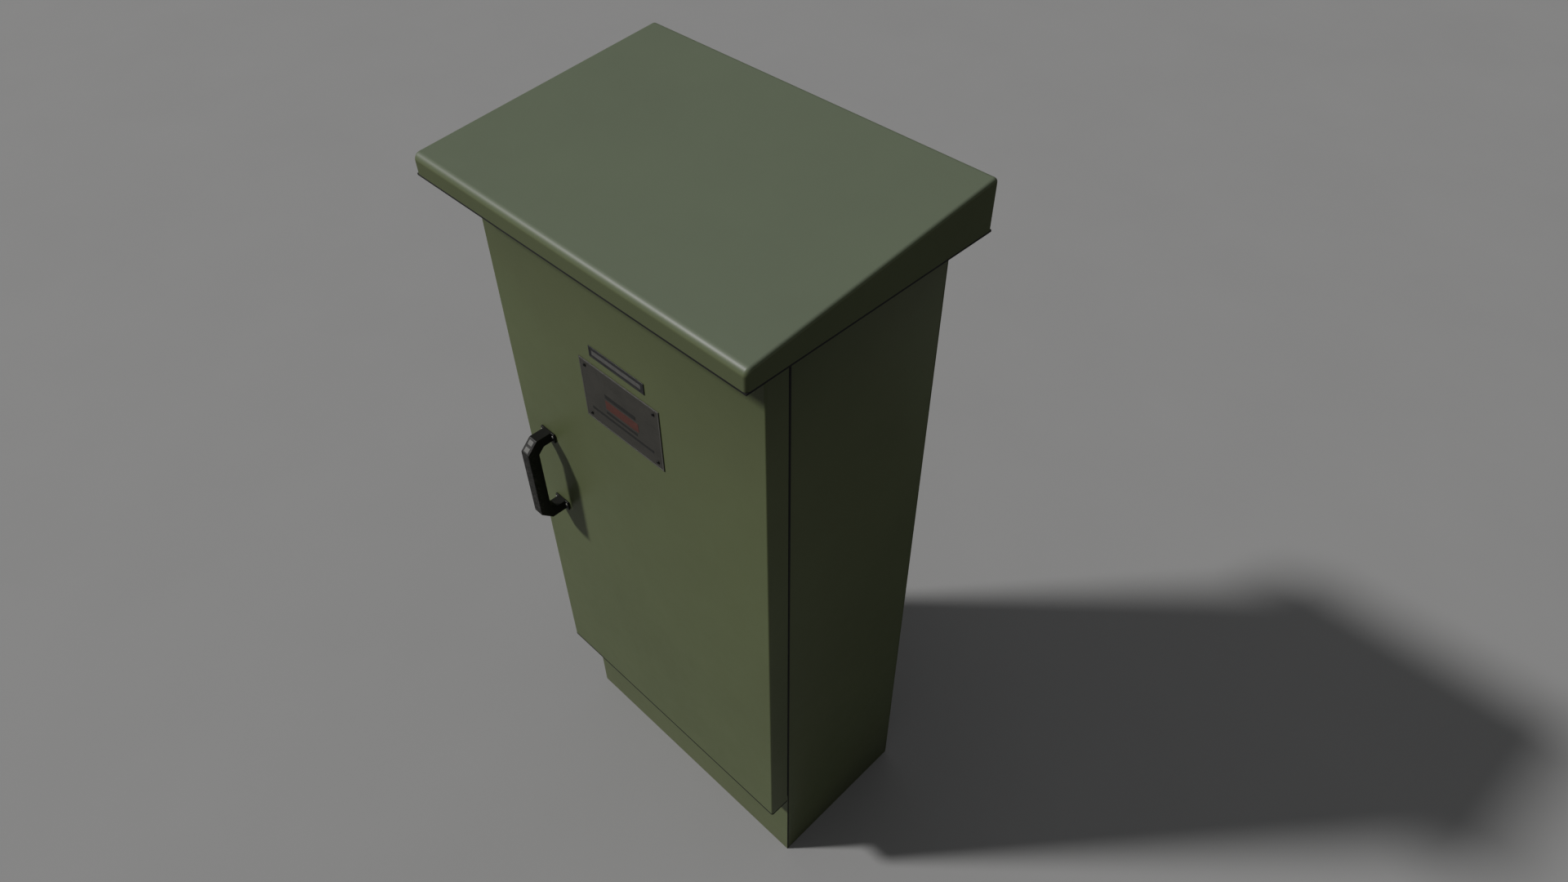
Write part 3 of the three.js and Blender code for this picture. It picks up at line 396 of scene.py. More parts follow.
# One material for each slot of the record, and a few for small pieces
FINISH = {
    "cabinet_paint": powder_coat("olive_powder_coat", OLIVE),
    "canopy_paint": powder_coat(
        "olive_canopy_coat", OLIVE, sheen=0.38, roughness=(0.4, 0.5), dull_sides=0.4
    ),
    "inner_paint": powder_coat("olive_inner_coat", shade(OLIVE, 1.12), wear=0.2, dust=0.05),
    "galvanised": zinc("galvanised_sheet"),
    "dark_steel": oxidised_steel("oxidised_steel"),
    "handle_black": scuffed_handle("scuffed_nylon"),
    "notice_metal": anodised_plate("weathered_plate"),
    "name_strip": moulded("engraved_strip", (0.013, 0.013, 0.014), wear=0.1),
    "rubber_black": rubber("epdm_rubber"),
    "core_steel": laminated_steel("lamination_stack"),
    "winding_resin": cast_resin("cast_resin"),
    "winding_foil": wound_foil("foil_winding"),
    "laminate": phenolic("phenolic_board"),
    "switch_grey": moulded("dark_switch_case", (0.042, 0.045, 0.048)),
    "module_grey": moulded("pale_module_case", (0.56, 0.56, 0.53), (0.36, 0.44)),
    "toggle_black": moulded("toggle_plastic", 0.012, wear=0.4),
    "knob_red": moulded("red_knob", (0.33, 0.018, 0.012), (0.28, 0.36), wear=0.15),
    "copper": copper("bar_copper"),
    "duct_grey": moulded("duct_pvc", (0.34, 0.35, 0.345), grain=400.0),
    "lead_black": moulded("lead_sheath", 0.014, (0.45, 0.55)),
    "magnet_black": moulded("magnet_case", 0.02),
    "bright_steel": bright_steel("plated_steel"),
    "dark_screw": bright_steel("dark_screw_steel", 0.05, (0.3, 0.45)),
    "dull_screw": bright_steel("dull_screw_steel", (0.24, 0.24, 0.225), (0.4, 0.5), 0.3),
    "brass": bright_steel("stud_brass", (0.6, 0.41, 0.15)),
    "tinned_copper": bright_steel("tinned_copper", (0.5, 0.47, 0.43), (0.3, 0.42)),
    "faded_enamel": matt_sheet("faded_enamel", (0.095, 0.026, 0.019)),
    "engraving": matt_sheet("engraving", (0.012, 0.012, 0.011)),
    "pale_field": matt_sheet("pale_field", (0.1, 0.1, 0.095)),
    "worn_insert": moulded("worn_insert", (0.115, 0.115, 0.108), wear=0.3),
    "insert_border": moulded("insert_border", 0.01),
    # near black for the strips and beads along rims and seams: painted shade
    "shade_strip": rubber("black_shade_strip", 0.006),
    "bare_rim": matt_sheet("bare_rim", (0.1, 0.1, 0.09), 0.4),
    # near black for the hinge in the door gap: partly painted shade of the gap
    "hinge_black": rubber("hinge_black", 0.005),
    "pale_label": matt_sheet("pale_label", (0.5, 0.5, 0.47), 0.4),
    # near black for grooves, slots and holes: painted shade in them
    "painted_recess_shade": moulded("painted_recess_shade", 0.008, (0.6, 0.7)),
    "red_sleeve": moulded("red_sleeve", (0.26, 0.018, 0.012), (0.32, 0.42)),
}
for sheath, sheath_colour in {**PHASE_SHEATHS, **OTHER_SHEATHS}.items():
    FINISH[sheath] = moulded(sheath, sheath_colour, (0.38, 0.48))


# ---- Outlines and routes, in millimetres ----

ROUND = 24  # points around a small round outline


def polar(reach, count=ROUND):
    """An outline from its reach at each angle."""
    turns = [2 * pi * i / count for i in range(count)]
    return [(reach(t) * cos(t), reach(t) * sin(t)) for t in turns]


def circle(radius, count=ROUND):
    return polar(lambda t: radius, count)


def circles(radius, *steps):
    """Sections of a turned form, from steps of (height, share of the radius)."""
    return [(z, circle(radius * share)) for z, share in steps]


def hexagon(across_flats):
    return polar(lambda t: across_flats / 2 / cos(t % (pi / 3) - pi / 6))


def cross(reach):
    """A plus sign. Its arms are as wide as a step of the circle, so that each corner falls on a point."""
    width = reach * tan(2 * pi / ROUND)

    def edge(t):
        c, s = (max(abs(side), 1e-9) for side in (cos(t), sin(t)))
        return max(min(reach / c, width / s), min(width / c, reach / s))

    return polar(edge)


def rounded(width, height, radius, steps=4):
    """A rectangle about the origin with round corners, with the same number of points for each radius."""
    radius = max(radius, 0.001)
    points = []
    for quarter, (sx, sy) in enumerate(((1, 1), (-1, 1), (-1, -1), (1, -1))):
        for step in range(steps + 1):
            t = pi / 2 * (quarter + step / steps)
            x = sx * (width / 2 - radius) + radius * cos(t)
            y = sy * (height / 2 - radius) + radius * sin(t)
            points.append((x, y))
    return points


def smooth_route(points, per_span=10):
    """A Catmull-Rom curve through the points."""
    guide = [Vector(p) for p in points]
    guide = [guide[0] * 2 - guide[1], *guide, guide[-1] * 2 - guide[-2]]
    route = []
    for a, b, c, d in zip(guide, guide[1:], guide[2:], guide[3:]):
        for step in range(per_span):
            t = step / per_span
            bend = 2 * a - 5 * b + 4 * c - d
            twist = -a + 3 * b - 3 * c + d
            route.append((2 * b + (c - a) * t + bend * t * t + twist * t ** 3) / 2)
    return [*route, guide[-2]]


def frames_along(route):
    """Each point of a route with two directions across it, which turn as little as they can."""
    side = (route[1] - route[0]).normalized().orthogonal().normalized()
    for i, centre in enumerate(route):
        ahead = (route[min(i + 1, len(route) - 1)] - route[max(i - 1, 0)]).normalized()
        side = (side - ahead * side.dot(ahead)).normalized()
        yield centre, side, ahead.cross(side)


# ---- Shapes and fasteners, in millimetres ----

class Shape:
    """Closed forms gathered into one mesh, which becomes a piece on a body once all is drawn.

    The slot is the record's, and its own finish is the default. A piece may stand for a CAD node.
    """

    drawn = []

    def __init__(self, name, slot, finish=None, edge=0.0, body=CABINET, stands_for=None):
        self.name = name
        self.slot = slot
        self.finish = FINISH[finish or slot]
        self.edge = edge
        self.body = body
        self.stands_for = stands_for
        self.mesh = bmesh.new()
        self.drawn.append(self)

    def make_piece(self):
        """Makes the object, with small rounds on its edges where their width is given."""
        bmesh.ops.scale(self.mesh, vec=(MM, MM, MM), verts=self.mesh.verts)
        mesh = bpy.data.meshes.new(self.name)
        self.mesh.to_mesh(mesh)
        self.mesh.free()
        made = bpy.data.objects.new(self.name, mesh)
        COLLECTION.objects.link(made)
        mesh.materials.append(self.finish)
        if self.edge:
            soften(made, self.edge, 2)
        else:
            smooth(made)
            mesh.set_sharp_from_angle(angle=radians(32))
        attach(made, self.body)
        if self.stands_for:
            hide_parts(self.stands_for)

    def skin(self, rings, looped=False):
        """Joins rings of equal counts into one closed form, which has caps or is a loop."""
        rings = [[self.mesh.verts.new(p) for p in ring] for ring in rings]
        ends = [] if looped else [rings[0][::-1], rings[-1]]
        faces = [self.mesh.faces.new(end) for end in ends]
        for lower, upper in zip(rings, rings[1:] + rings[:looped]):
            for a, b, c, d in zip(lower, lower[1:] + lower[:1], upper[1:] + upper[:1], upper):
                faces.append(self.mesh.faces.new((a, b, c, d)))
        bmesh.ops.recalc_face_normals(self.mesh, faces=faces)

    def loft(self, place, *sections, looped=False):
        """Stacks sections of (height, outline) outwards from a place, which may be given as its values."""
        spot = place if isinstance(place, Place) else Place(*place)
        self.skin([[spot.point(x, y, height) for x, y in outline] for height, outline in sections], looped)

    def hoop(self, place, outer, inner, depth):
        """A raised rim between two outlines."""
        self.loft(place, (0, outer), (depth, outer), (depth, inner), (0, inner), looped=True)

    def border(self, place, width, height, band, depth, radius):
        """A raised rectangular rim of four mitred strips."""
        inner = rounded(width - 2 * band, height - 2 * band, max(radius - band, 0.0))
        self.hoop(place, rounded(width, height, radius), inner, depth)

    def washer(self, place, outer, inner, depth, count=32):
        self.hoop(place, circle(outer, count), circle(inner, count), depth)

    def slab(self, place, width, height, depth, radius=0.0, chamfer=0.0):
        """A plate standing on a face, with round corners and a chamfered outer edge."""
        foot = rounded(width, height, radius)
        sections = [(0, foot), (depth - chamfer, foot)]
        if chamfer:
            rim = rounded(width - 2 * chamfer, height - 2 * chamfer, max(radius - chamfer, 0.0))
            sections.append((depth, rim))
        self.loft(place, *sections)

    def block(self, x, y, z):
        """A plain box between two values on each axis."""
        self.slab((sum(x) / 2, y[1], sum(z) / 2), x[1] - x[0], z[1] - z[0], y[1] - y[0])

    def turned(self, x, y, profile):
        """A ring turned about an upright axis. The profile is closed: points of (radius, height)."""
        self.skin([[(x + u, y + v, z) for u, v in circle(radius, 96)] for radius, z in profile], looped=True)

    def tube(self, route, radius, sides=16):
        """A round bar along a route. Radius is a number, or one number for each point."""
        radii = radius if isinstance(radius, list) else [radius] * len(route)
        self.skin([
            [centre + side * u + across * v for u, v in circle(r, sides)]
            for (centre, side, across), r in zip(frames_along(route), radii)
        ])

    def ribbon(self, route, radius, degrees):
        """A stripe along a round bar: a thin shell over part of its girth."""
        arc = [radians(degrees * (i / 4 - 0.5)) for i in range(5)]
        section = [(radius, t) for t in arc] + [(radius * 0.8, t) for t in reversed(arc)]
        self.skin([
            [centre + side * r * cos(t) + across * r * sin(t) for r, t in section]
            for centre, side, across in frames_along(route)
        ])

    def repeat(self, fastener, xs, ys, zs, *sizes, out=FRONT):
        """Sets a fastener at every combination of the x, y and z values."""
        for x, y, z in product(xs, ys, zs):
            fastener(self, (x, y, z, out), *sizes)

    def pan_screw(self, place, radius, height=None):
        """Domed head with a cross recess."""
        h = height or radius * 0.62
        head = circles(radius, (0, 1), (h * 0.45, 1), (h * 0.82, 0.84), (h, 0.62))
        self.loft(place, *head, (h, cross(radius * 0.5)), (h * 0.35, cross(radius * 0.42)))

    def flat_screw(self, place, radius, proud=0.3):
        """Countersunk head, nearly flush, with a cross recess."""
        head = circles(radius, (-0.2, 1), (proud * 0.6, 1), (proud, 0.93))
        self.loft(place, *head, (proud, cross(radius * 0.55)), (0.02, cross(radius * 0.45)))

    def slotted_screw(self, place, radius, height):
        """Cheese head with a straight slot, for terminals."""
        slot = rounded(radius * 1.5, radius * 0.34, 0.0, steps=5)
        head = circles(radius, (0, 1), (height * 0.8, 1), (height, 0.88))
        self.loft(place, *head, (height, slot), (height * 0.4, slot))

    def hex_bolt(self, place, across, height=None):
        """Chamfered hexagon head on a washer."""
        base = across * 0.11
        top = base + (height or across * 0.42)
        self.loft(place, *circles(across, (0, 0.86), (base, 0.83)))
        dished = circles(across, (top, 0.46), (top, 0.3), (top - (top - base) * 0.06, 0.26))
        self.loft(place, (base, hexagon(across)), (base + (top - base) * 0.8, hexagon(across)), *dished)

    def nut_on_stud(self, place, across, stud_length):
        """Washer, nut and the end of a threaded stud."""
        base = across * 0.11
        h = across * 0.48
        stud = across * 0.3
        self.loft(place, *circles(across, (0, 0.88), (base, 0.85)))
        self.loft(
            place,
            (base, circle(across * 0.47)),
            (base + h * 0.16, hexagon(across)),
            (base + h * 0.84, hexagon(across)),
            (base + h, circle(across * 0.47)),
            (base + h, circle(stud * 1.04)),
        )
        thread = []
        z = base + h * 0.5
        pitch = across * 0.09
        while z < stud_length - pitch:
            thread += circles(stud, (z, 1), (z + pitch / 2, 0.9))
            z += pitch
        self.loft(place, *thread, (stud_length, circle(stud * 0.82)))

    def rivet(self, place, radius):
        """Blind rivet head with the stub of its mandrel."""
        h = radius * 0.5
        dome = ((0, 1), (h * 0.3, 1), (h * 0.75, 0.72), (h, 0.42), (h * 0.8, 0.36), (h * 0.95, 0.2))
        self.loft(place, *circles(radius, *dome))


# ---- CAD nodes and soft edges ----

def modify(target, name, kind, **settings):
    made = target.modifiers.new(name, kind)
    for key, value in settings.items():
        setattr(made, key, value)


def smooth(target):
    for polygon in target.data.polygons:
        polygon.use_smooth = True


def soften(target, width, segments):
    """Small round on the edges sharper than 30 degrees, with flat faces kept flat in the shading."""
    smooth(target)
    for line in target.data.edges:
        line.use_edge_sharp = False
    sharp = radians(30)
    modify(target, "edge_break", "BEVEL", width=width * MM, segments=segments, angle_limit=sharp)
    modify(target, "flat_faces", "WEIGHTED_NORMAL", weight=100)


EDGE_BREAKS = {
    0.25: ("hinge",),
    0.3: ("name_plate",),
    0.5: ("cable_duct",),
    0.6: ("document_pocket",),
    0.7: ("door_liner", "rear_panel", "louvre"),
    0.8: ("door_frame", "core", "branch_toggle"),
    0.9: ("roof_canopy", "door_shell", "foot_bearer", "base_channel", "feeder_toggle"),
    1.0: ("magnet_catch",),
    1.1: ("branch_breaker",),
    1.2: ("side_panel", "door_seal"),
    1.4: ("cable_seal",),
    1.6: ("pull_handle", "feeder_breaker"),
    1.8: ("isolator_knob",),
    2.2: ("isolator_body",),
}
OTHER_BREAK = 0.4
OWN_LOOK = {
    "roof_canopy": "canopy_paint",
    # The hinge is near black, as dark as the shade in the gap beside the door: partly the hinge's own finish,
    # partly painted shade.
    "hinge_leaf_door": "hinge_black",
    "hinge_leaf_frame": "hinge_black",
    "hinge_pin": "hinge_black",
}


def dress_cad_nodes():
    """Gives each CAD node its slot's finish, and welds and softens its edges."""
    slot_shades = {part["node"]: part["material_slot"] for part in frame["record"]["subparts"]}
    for name, node in frame["nodes"].items():
        node.data.materials.clear()
        node.data.materials.append(FINISH[OWN_LOOK.get(name, slot_shades[name])])
        modify(node, "weld", "WELD", merge_threshold=0.01 * MM)
        modify(node, "flatten", "DECIMATE", decimate_type="DISSOLVE", angle_limit=radians(0.6))
        widths = [width for width, starts in EDGE_BREAKS.items() if name.startswith(starts)]
        soften(node, widths[0] if widths else OTHER_BREAK, 3)


dress_cad_nodes()


# ---- Door, outside ----

def notice_details():
    """Screws, a plain enamel band and ruled lines on the notice plate. It carries no words or symbols."""
    plate = Box("notice_plate")
    front = plate.front
    screws = Shape("notice_plate_screws", "dark_steel", "dark_screw", body=DOOR)
    screws.repeat(Shape.pan_screw, plate.sides(17.5), [front], plate.levels(16), 4.2, 2.2)
    rim = Shape("notice_plate_rim", "notice_metal", "bare_rim", edge=0.15, body=DOOR)
    band = Shape("notice_enamel_band", "notice_metal", "faded_enamel", edge=0.1, body=DOOR)
    ruled = Shape("notice_ruled_lines", "notice_metal", "engraving", body=DOOR)
    rim.border((plate.x, front, plate.z), 245, 162, 2.0, 0.3, 2)
    band.slab((plate.x + 1, front, plate.z - 8), 104, 24, 0.3, 1.5)
    for z, length, height in ((15, 96, 11), (-30, 98, 7), (-45, 196, 7)):
        ruled.slab((plate.x - 2, front, plate.z + z), length, height, 0.25, 1)


def name_strip_details():
    """Dark rim and a plain pale field on the strip above the notice plate."""
    strip = Box("name_plate")
    middle = (strip.x, strip.front, strip.z)
    rim = Shape("name_plate_rim", "name_strip", edge=0.15, body=DOOR)
    field = Shape("name_plate_field", "name_strip", "pale_field", edge=0.1, body=DOOR)
    rim.border(middle, 168, 28, 3.2, 0.4, 1)
    field.slab(middle, 150, 11, 0.2, 1)


def handle_details():
    """Foot screws, and two pale square inserts in the chamfer above the grip."""
    handle = Box("pull_handle")
    foot_front = handle.back - 5.0
    screws = Shape("handle_screws", "handle_black", "dull_screw", body=DOOR)
    frames = Shape("handle_insert_frames", "handle_black", "insert_border", edge=0.12, body=DOOR)
    pads = Shape("handle_insert_pads", "handle_black", "worn_insert", edge=0.1, body=DOOR)
    for z in (handle.bottom + 18, handle.top - 9):
        screws.repeat(Shape.pan_screw, around(handle.x, 19.9), [foot_front], [z], 3.6, 2.0)
    chamfer = 29.3
    for step in (0.27, 0.73):
        y = handle.front + chamfer * step
        z = handle.top - chamfer * (1 - step)
        spot = (handle.x, y, z, Vector((0, -1, 1)), Vector((0, 1, 1)))
        frames.border(spot, 20, 17.5, 1.6, 0.45, 1.5)
        pads.slab(spot, 15, 12.5, 0.5, 1.2, 0.2)


def door_bottom_shade_strip():
    """Black strip along the door's lower edge, round its front and both sides: painted shade under the edge.
    """
    shell = Box("door_shell")
    corner = 5.0
    outer, inner = corner + 0.35, corner - 2.5
    low, high = shell.bottom + 0.2, shell.bottom + 4.4
    front, back = shell.front + corner, shell.back - 0.2
    left, right = shell.sides(corner)
    stations = [(right, back, 0)]
    stations += [(right, front, -18 * step) for step in range(6)]
    stations += [(left, front, -90 - 18 * step) for step in range(6)]
    stations += [(left, back, -180)]
    # painted shade: a near-black strip where the door's lower edge turns away from the light
    strip = Shape("door_bottom_shade_strip", "rubber_black", "shade_strip", body=DOOR)
    rings = []
    for x, y, angle in stations:
        across = Vector((cos(radians(angle)), sin(radians(angle)), 0))
        section = ((outer, low), (outer, high), (inner, high), (inner, low))
        rings.append([Vector((x, y, z)) + across * reach for reach, z in section])
    strip.skin(rings)


notice_details()
name_strip_details()
handle_details()
door_bottom_shade_strip()


# ---- Cabinet, outside ----

def canopy_shade_strip():
    """Black strip that fills the rebate around the canopy's lower edge: painted shade along the rim."""
    canopy = Box("roof_canopy")
    # painted shade: the dark line under the canopy's rim
    strip = Shape("canopy_shade_strip", "rubber_black", "shade_strip")
    depth = canopy.back - canopy.front
    rim = (canopy.x, canopy.y, canopy.bottom, UP)
    strip.border(rim, canopy.width - 0.1, depth - 0.1, 1.2, 3.9, 1.0)


def corner_shade_beads():
    """Dark bead in the seam between the front sheet and each side sheet: painted shade in the seam."""
    rim = Box("door_frame")
    # painted shade: a near-black bead standing for the shade in the corner seam
    beads = Shape("corner_shade_beads", "rubber_black", "shade_strip")
    for x, out in ((rim.left, -RIGHT), (rim.right, RIGHT)):
        beads.slab((x, rim.front + 2.6, rim.z, out), 3.6, rim.top - rim.bottom - 1, 0.35, 0.8)


def rear_screws_and_mesh():
    """Painted screws around the rear sheet and the vents, and an insect mesh behind each vent."""
    rear = Box("rear_panel")
    zs = spread(rear.bottom + 60, rear.top - 40, 11)
    screws = Shape("rear_panel_screws", "cabinet_paint")
    screws.repeat(Shape.pan_screw, rear.sides(14), [rear.back], zs, 5.5, 2.6, out=BACK)
    screws = Shape("louvre_screws", "cabinet_paint")
    wires = Shape("insect_mesh", "galvanised")
    wire, pitch, rest = 0.45, 6.0, 8
    y = rear.front - 1.2
    for name in ("louvre_lower", "louvre_upper"):
        vent = Box(name)
        xs = spread(*vent.sides(11), 4)
        screws.repeat(Shape.pan_screw, xs, [vent.back], vent.levels(11), 4.2, 2.2, out=BACK)
        (left, right), (bottom, top) = vent.sides(26), vent.levels(26)
        for x in spread(left, right, round((right - left) / pitch) + 1):
            wires.block(around(x, wire), (y, y + 0.7), (bottom - rest, top + rest))
        for z in spread(bottom, top, round((top - bottom) / pitch) + 1):
            wires.block((left - rest, right + rest), (y - 0.7, y), around(z, wire))
        rim = (vent.x, rear.front - 0.2, vent.z)
        wires.border(rim, right - left + 26, top - bottom + 26, 12, 2.2, 4)


canopy_shade_strip()
corner_shade_beads()
rear_screws_and_mesh()


# ---- Door, inside ----

def liner_details():
    """Stiffening channels, and the rivets that hold the inner skin to the shell."""
    liner = Box("door_liner")
    channels = (-235, 235)
    ribs = Shape("door_stiffeners", "inner_paint", edge=0.8, body=DOOR)
    rivets = Shape("door_rivets", *STEEL, body=DOOR)
    for x in channels:
        ribs.slab((x, liner.back, liner.z, BACK), 44, liner.top - liner.bottom - 180, 4.5, 3, 2.5)
    edges = (liner.left + 12, liner.right - 46)
    rivets.repeat(Shape.rivet, edges, [liner.back], spread(*liner.levels(60), 9), 3.6, out=BACK)
    rivets.repeat(Shape.rivet, channels, [liner.back + 4.5], spread(*liner.levels(130), 7), 3.6, out=BACK)


def hinge_screws():
    """Countersunk screws along both leaves of the continuous hinge."""
    leaf = Box("hinge_leaf_door")
    heights = spread(*leaf.levels(50), 15)
    leaves = (("door", leaf.front + 1.25, BACK, DOOR), ("frame", leaf.back - 1.25, FRONT, CABINET))
    for side, y, out, body in leaves:
        screws = Shape(f"hinge_screws_{side}", "dark_steel", "bright_steel", body=body)
        screws.repeat(Shape.flat_screw, [leaf.left + 13], [y], heights, 3.8, out=out)


def catch_details():
    """Pole plates and screws of the magnetic catches, and the screws of their strike plates."""
    poles = Shape("magnet_poles", "galvanised")
    screws = Shape("magnet_screws", *STEEL)
    strike_screws = Shape("strike_screws", *STEEL, body=DOOR)
    for level in ("lower", "upper"):
        magnet = Box(f"magnet_catch_{level}")
        for x in around(magnet.x, 6):
            poles.block(around(x, 1.4), (magnet.front - 0.12, magnet.front + 1), around(magnet.z, 22))
        heights = around(magnet.z, 24)
        screws.repeat(Shape.pan_screw, [magnet.right], [magnet.y + 3], heights, 3.2, 1.8, out=RIGHT)
        strike = Box(f"strike_plate_{level}")
        line = [strike.right - 6]
        heights = around(strike.z, 20)
        strike_screws.repeat(Shape.flat_screw, line, [strike.back], heights, 3.4, 0.1, out=BACK)


def pocket_rivets():
    """Rivets that hold the document pocket to the inner skin."""
    pocket = Box("document_pocket")
    rivets = Shape("pocket_rivets", *STEEL, body=DOOR)
    rivets.repeat(Shape.rivet, pocket.sides(18), [pocket.front + 2], pocket.levels(20), 3.4, out=BACK)


liner_details()
hinge_screws()
catch_details()
pocket_rivets()


# ---- Transformer ----

PHASES = ("left", "centre", "right")
CLAMP_SIDES = (("front", -1), ("rear", 1))


def high_voltage_coils():
    """Cast coils with round shoulders and shallow bands, in place of the plain CAD rings."""
    bands = 5
    for phase in PHASES:
        name = f"hv_winding_{phase}"
        box = Box(name)
        low, high = box.bottom, box.top
        outer = box.width / 2
        inner = outer - 24
        profile = [(inner, low + 4), (inner + 4, low)]
        profile += [(outer - 6, low), (outer - 1.8, low + 1.8), (outer, low + 6)]
        reach = (high - low - 24) / bands
        for band in range(bands):
            start = low + 12 + band * reach
            end = start + reach
            profile += [(outer, start + 1.5), (outer - 1.6, start + 3.5)]
            profile += [(outer - 1.6, end - 3.5), (outer, end - 1.5)]
        profile += [(outer, high - 6), (outer - 1.8, high - 1.8), (outer - 6, high)]
        profile += [(inner + 4, high), (inner, high - 4)]
        coil = Shape(f"cast_coil_{phase}", "winding_resin", stands_for=name)
        coil.turned(box.x, box.y, profile)


def low_voltage_coils():
    """Foil coils with a film edge that stands above the copper, in place of the plain CAD rings."""
    for phase in PHASES:
        name = f"lv_winding_{phase}"
        box = Box(name)
        coil = Shape(f"foil_coil_{phase}", "winding_foil", edge=0.3, stands_for=name)
        for layer in range(6):
            near = box.width / 2 - 12 + 2 * layer
            inner, outer = near + 0.1, near + 1.9
            low, high = box.levels(0 if layer % 2 else 2.5)
            coil.turned(box.x, box.y, [(inner, low), (outer, low), (outer, high), (inner, high)])


def coil_terminals():
    """Resin bosses on the front of each coil with brass studs, and the link between two of its taps."""
    bosses = Shape("coil_bosses", "winding_resin", edge=0.8)
    studs = Shape("coil_studs", "copper", "brass")
    links = Shape("tap_links", "copper")
    for phase in PHASES:
        box = Box(f"hv_winding_{phase}")
        face = box.front
        ends = ((0, rounded(46, 36, 8)), (13, rounded(34, 27, 9)), (17, rounded(29, 22, 9)))
        for z in box.levels(26):
            bosses.loft((box.x, face + 7, z), *ends)
            studs.nut_on_stud((box.x, face - 10, z), 13, 15)
        strip = ((0, rounded(40, 104, 8)), (9, rounded(32, 96, 8)), (12, rounded(28, 92, 8)))
        bosses.loft((box.x, face + 6, box.z), *strip)
        taps = spread(*around(box.z, 36), 5)
        studs.repeat(Shape.nut_on_stud, [box.x], [face - 6], taps, 9, 9)
        links.slab((box.x, face - 6, (taps[2] + taps[3]) / 2), 9, 27, 1.6, 4, 0.3)


def delta_links():
    """Insulated rods from the top of each coil to the bottom of the next. The last one passes in front."""
    rods = Shape("delta_links", "winding_resin", "red_sleeve")
    eyes = Shape("delta_link_eyes", *TINNED)
    for first, second, reach in (("left", "centre", 16), ("centre", "right", 16), ("right", "left", 46)):
        a, b = Box(f"hv_winding_{first}"), Box(f"hv_winding_{second}")
        start = Vector((a.x, a.front - 14, a.top - 26))
        end = Vector((b.x, a.front - 14, b.bottom + 26))
        along = (end - start).normalized()
        bow = FRONT * reach
        route = smooth_route([
            start + along * 12, start + along * 34 + bow * 0.7, (start + end) / 2 + bow,
            end - along * 34 + bow * 0.7, end - along * 12,
        ])
        rods.tube(route, 4.6, 14)
        for spot, way in ((start, along), (end, -along)):
            eyes.washer((*spot,), 9.5, 4.2, 2.2)
            eyes.tube([spot + way * 6 + FRONT, spot + way * 20 + FRONT * 5], [4.4, 5.2], 14)


def winding_blocks():
    """Pressed blocks that hold the coils between the clamps, with rubber pads above and below."""
    blocks = Shape("winding_blocks", "laminate", edge=1.4)
    pads = Shape("block_pads", "rubber_black", edge=0.6)
    for phase, (side, sign) in product(PHASES, CLAMP_SIDES):
        coil = Box(f"hv_winding_{phase}")
        upper = Box(f"core_clamp_upper_{side}")
        lower = Box(f"core_clamp_lower_{side}")
        y = coil.y + sign * 72
        for x in around(coil.x, 34.5):
            for low, high in ((coil.top + 3, upper.bottom - 0.3), (lower.top + 0.3, coil.bottom - 3)):
                blocks.block(around(x, 10), around(y, 13), (low, high))
            for low in (coil.top, coil.bottom - 3):
                pads.block(around(x, 11.5), around(y, 14.5), (low, low + 3))


def core_fasteners():
    """Yoke bolts through the clamps, upright tie rods, and the bolts that hold the clamps to the bearers."""
    bolts = Shape("core_bolts", *STEEL)
    rods = Shape("tie_rods", *STEEL)
    for level in ("lower", "upper"):
        front = Box(f"core_clamp_{level}_front")
        rear = Box(f"core_clamp_{level}_rear")
        for x in (-225, -106, 0, 106, 225):
            bolts.nut_on_stud((x, front.back - 5, front.z), 17, 17)
            bolts.hex_bolt((x, rear.front + 5, rear.z, BACK), 17)
    for bearer in (Box("foot_bearer_left"), Box("foot_bearer_right")):
        for side, sign in CLAMP_SIDES:
            clamp = Box(f"core_clamp_lower_{side}")
            bolts.hex_bolt((bearer.x + 5, clamp.y + 8 * sign, clamp.bottom + 5, UP), 15)
        for y in (bearer.front + 18, bearer.back - 18):
            bolts.hex_bolt((bearer.x + 8, y, bearer.bottom + 4, UP), 13)

    for x, (side, sign) in product((-106, 106), CLAMP_SIDES):
        upper = Box(f"core_clamp_upper_{side}")
        lower = Box(f"core_clamp_lower_{side}")
        y = (upper.front if sign < 0 else upper.back) - 8.2 * sign
        rods.tube([Vector((x, y, lower.top - 9)), Vector((x, y, upper.bottom + 9))], 4.5)
        for z, out in ((upper.bottom, UP), (lower.top, -UP)):
            rods.nut_on_stud((x, y, z + 5 * out.z, out), 13, 13)
            rods.nut_on_stud((x, y, z, -out), 13, 10)


def lifting_eyes():
    """Plates with an eye, standing in the ends of the upper clamps."""
    eyes = Shape("lifting_eyes", "dark_steel", edge=0.8)
    for side, _ in CLAMP_SIDES:
        clamp = Box(f"core_clamp_upper_{side}")
        for x in clamp.sides(9):
            eyes.slab((x, clamp.y, clamp.top - 5, UP), 8, 30, 8, 2)
            eyes.washer((x - 3, clamp.y, clamp.top + 15, RIGHT), 16, 8.5, 6)


high_voltage_coils()
low_voltage_coils()
coil_terminals()
delta_links()
winding_blocks()
core_fasteners()
lifting_eyes()


# ---- Terminal boards ----

PRIMARY_STUDS = (-215, -150, -85)
SECONDARY_STUDS = (60, 115, 170, 225)
STUD_LINE = 48  # height of the studs above the foot of their board
STUD_LENGTH = 24


class Board(Box):
    """A terminal board, with the height of its studs and the face of their ends."""

    def __init__(self, name):
        super().__init__(f"terminal_board_{name}")
        self.face = self.front + STUD_LENGTH
        self.stud_z = self.bottom + STUD_LINE


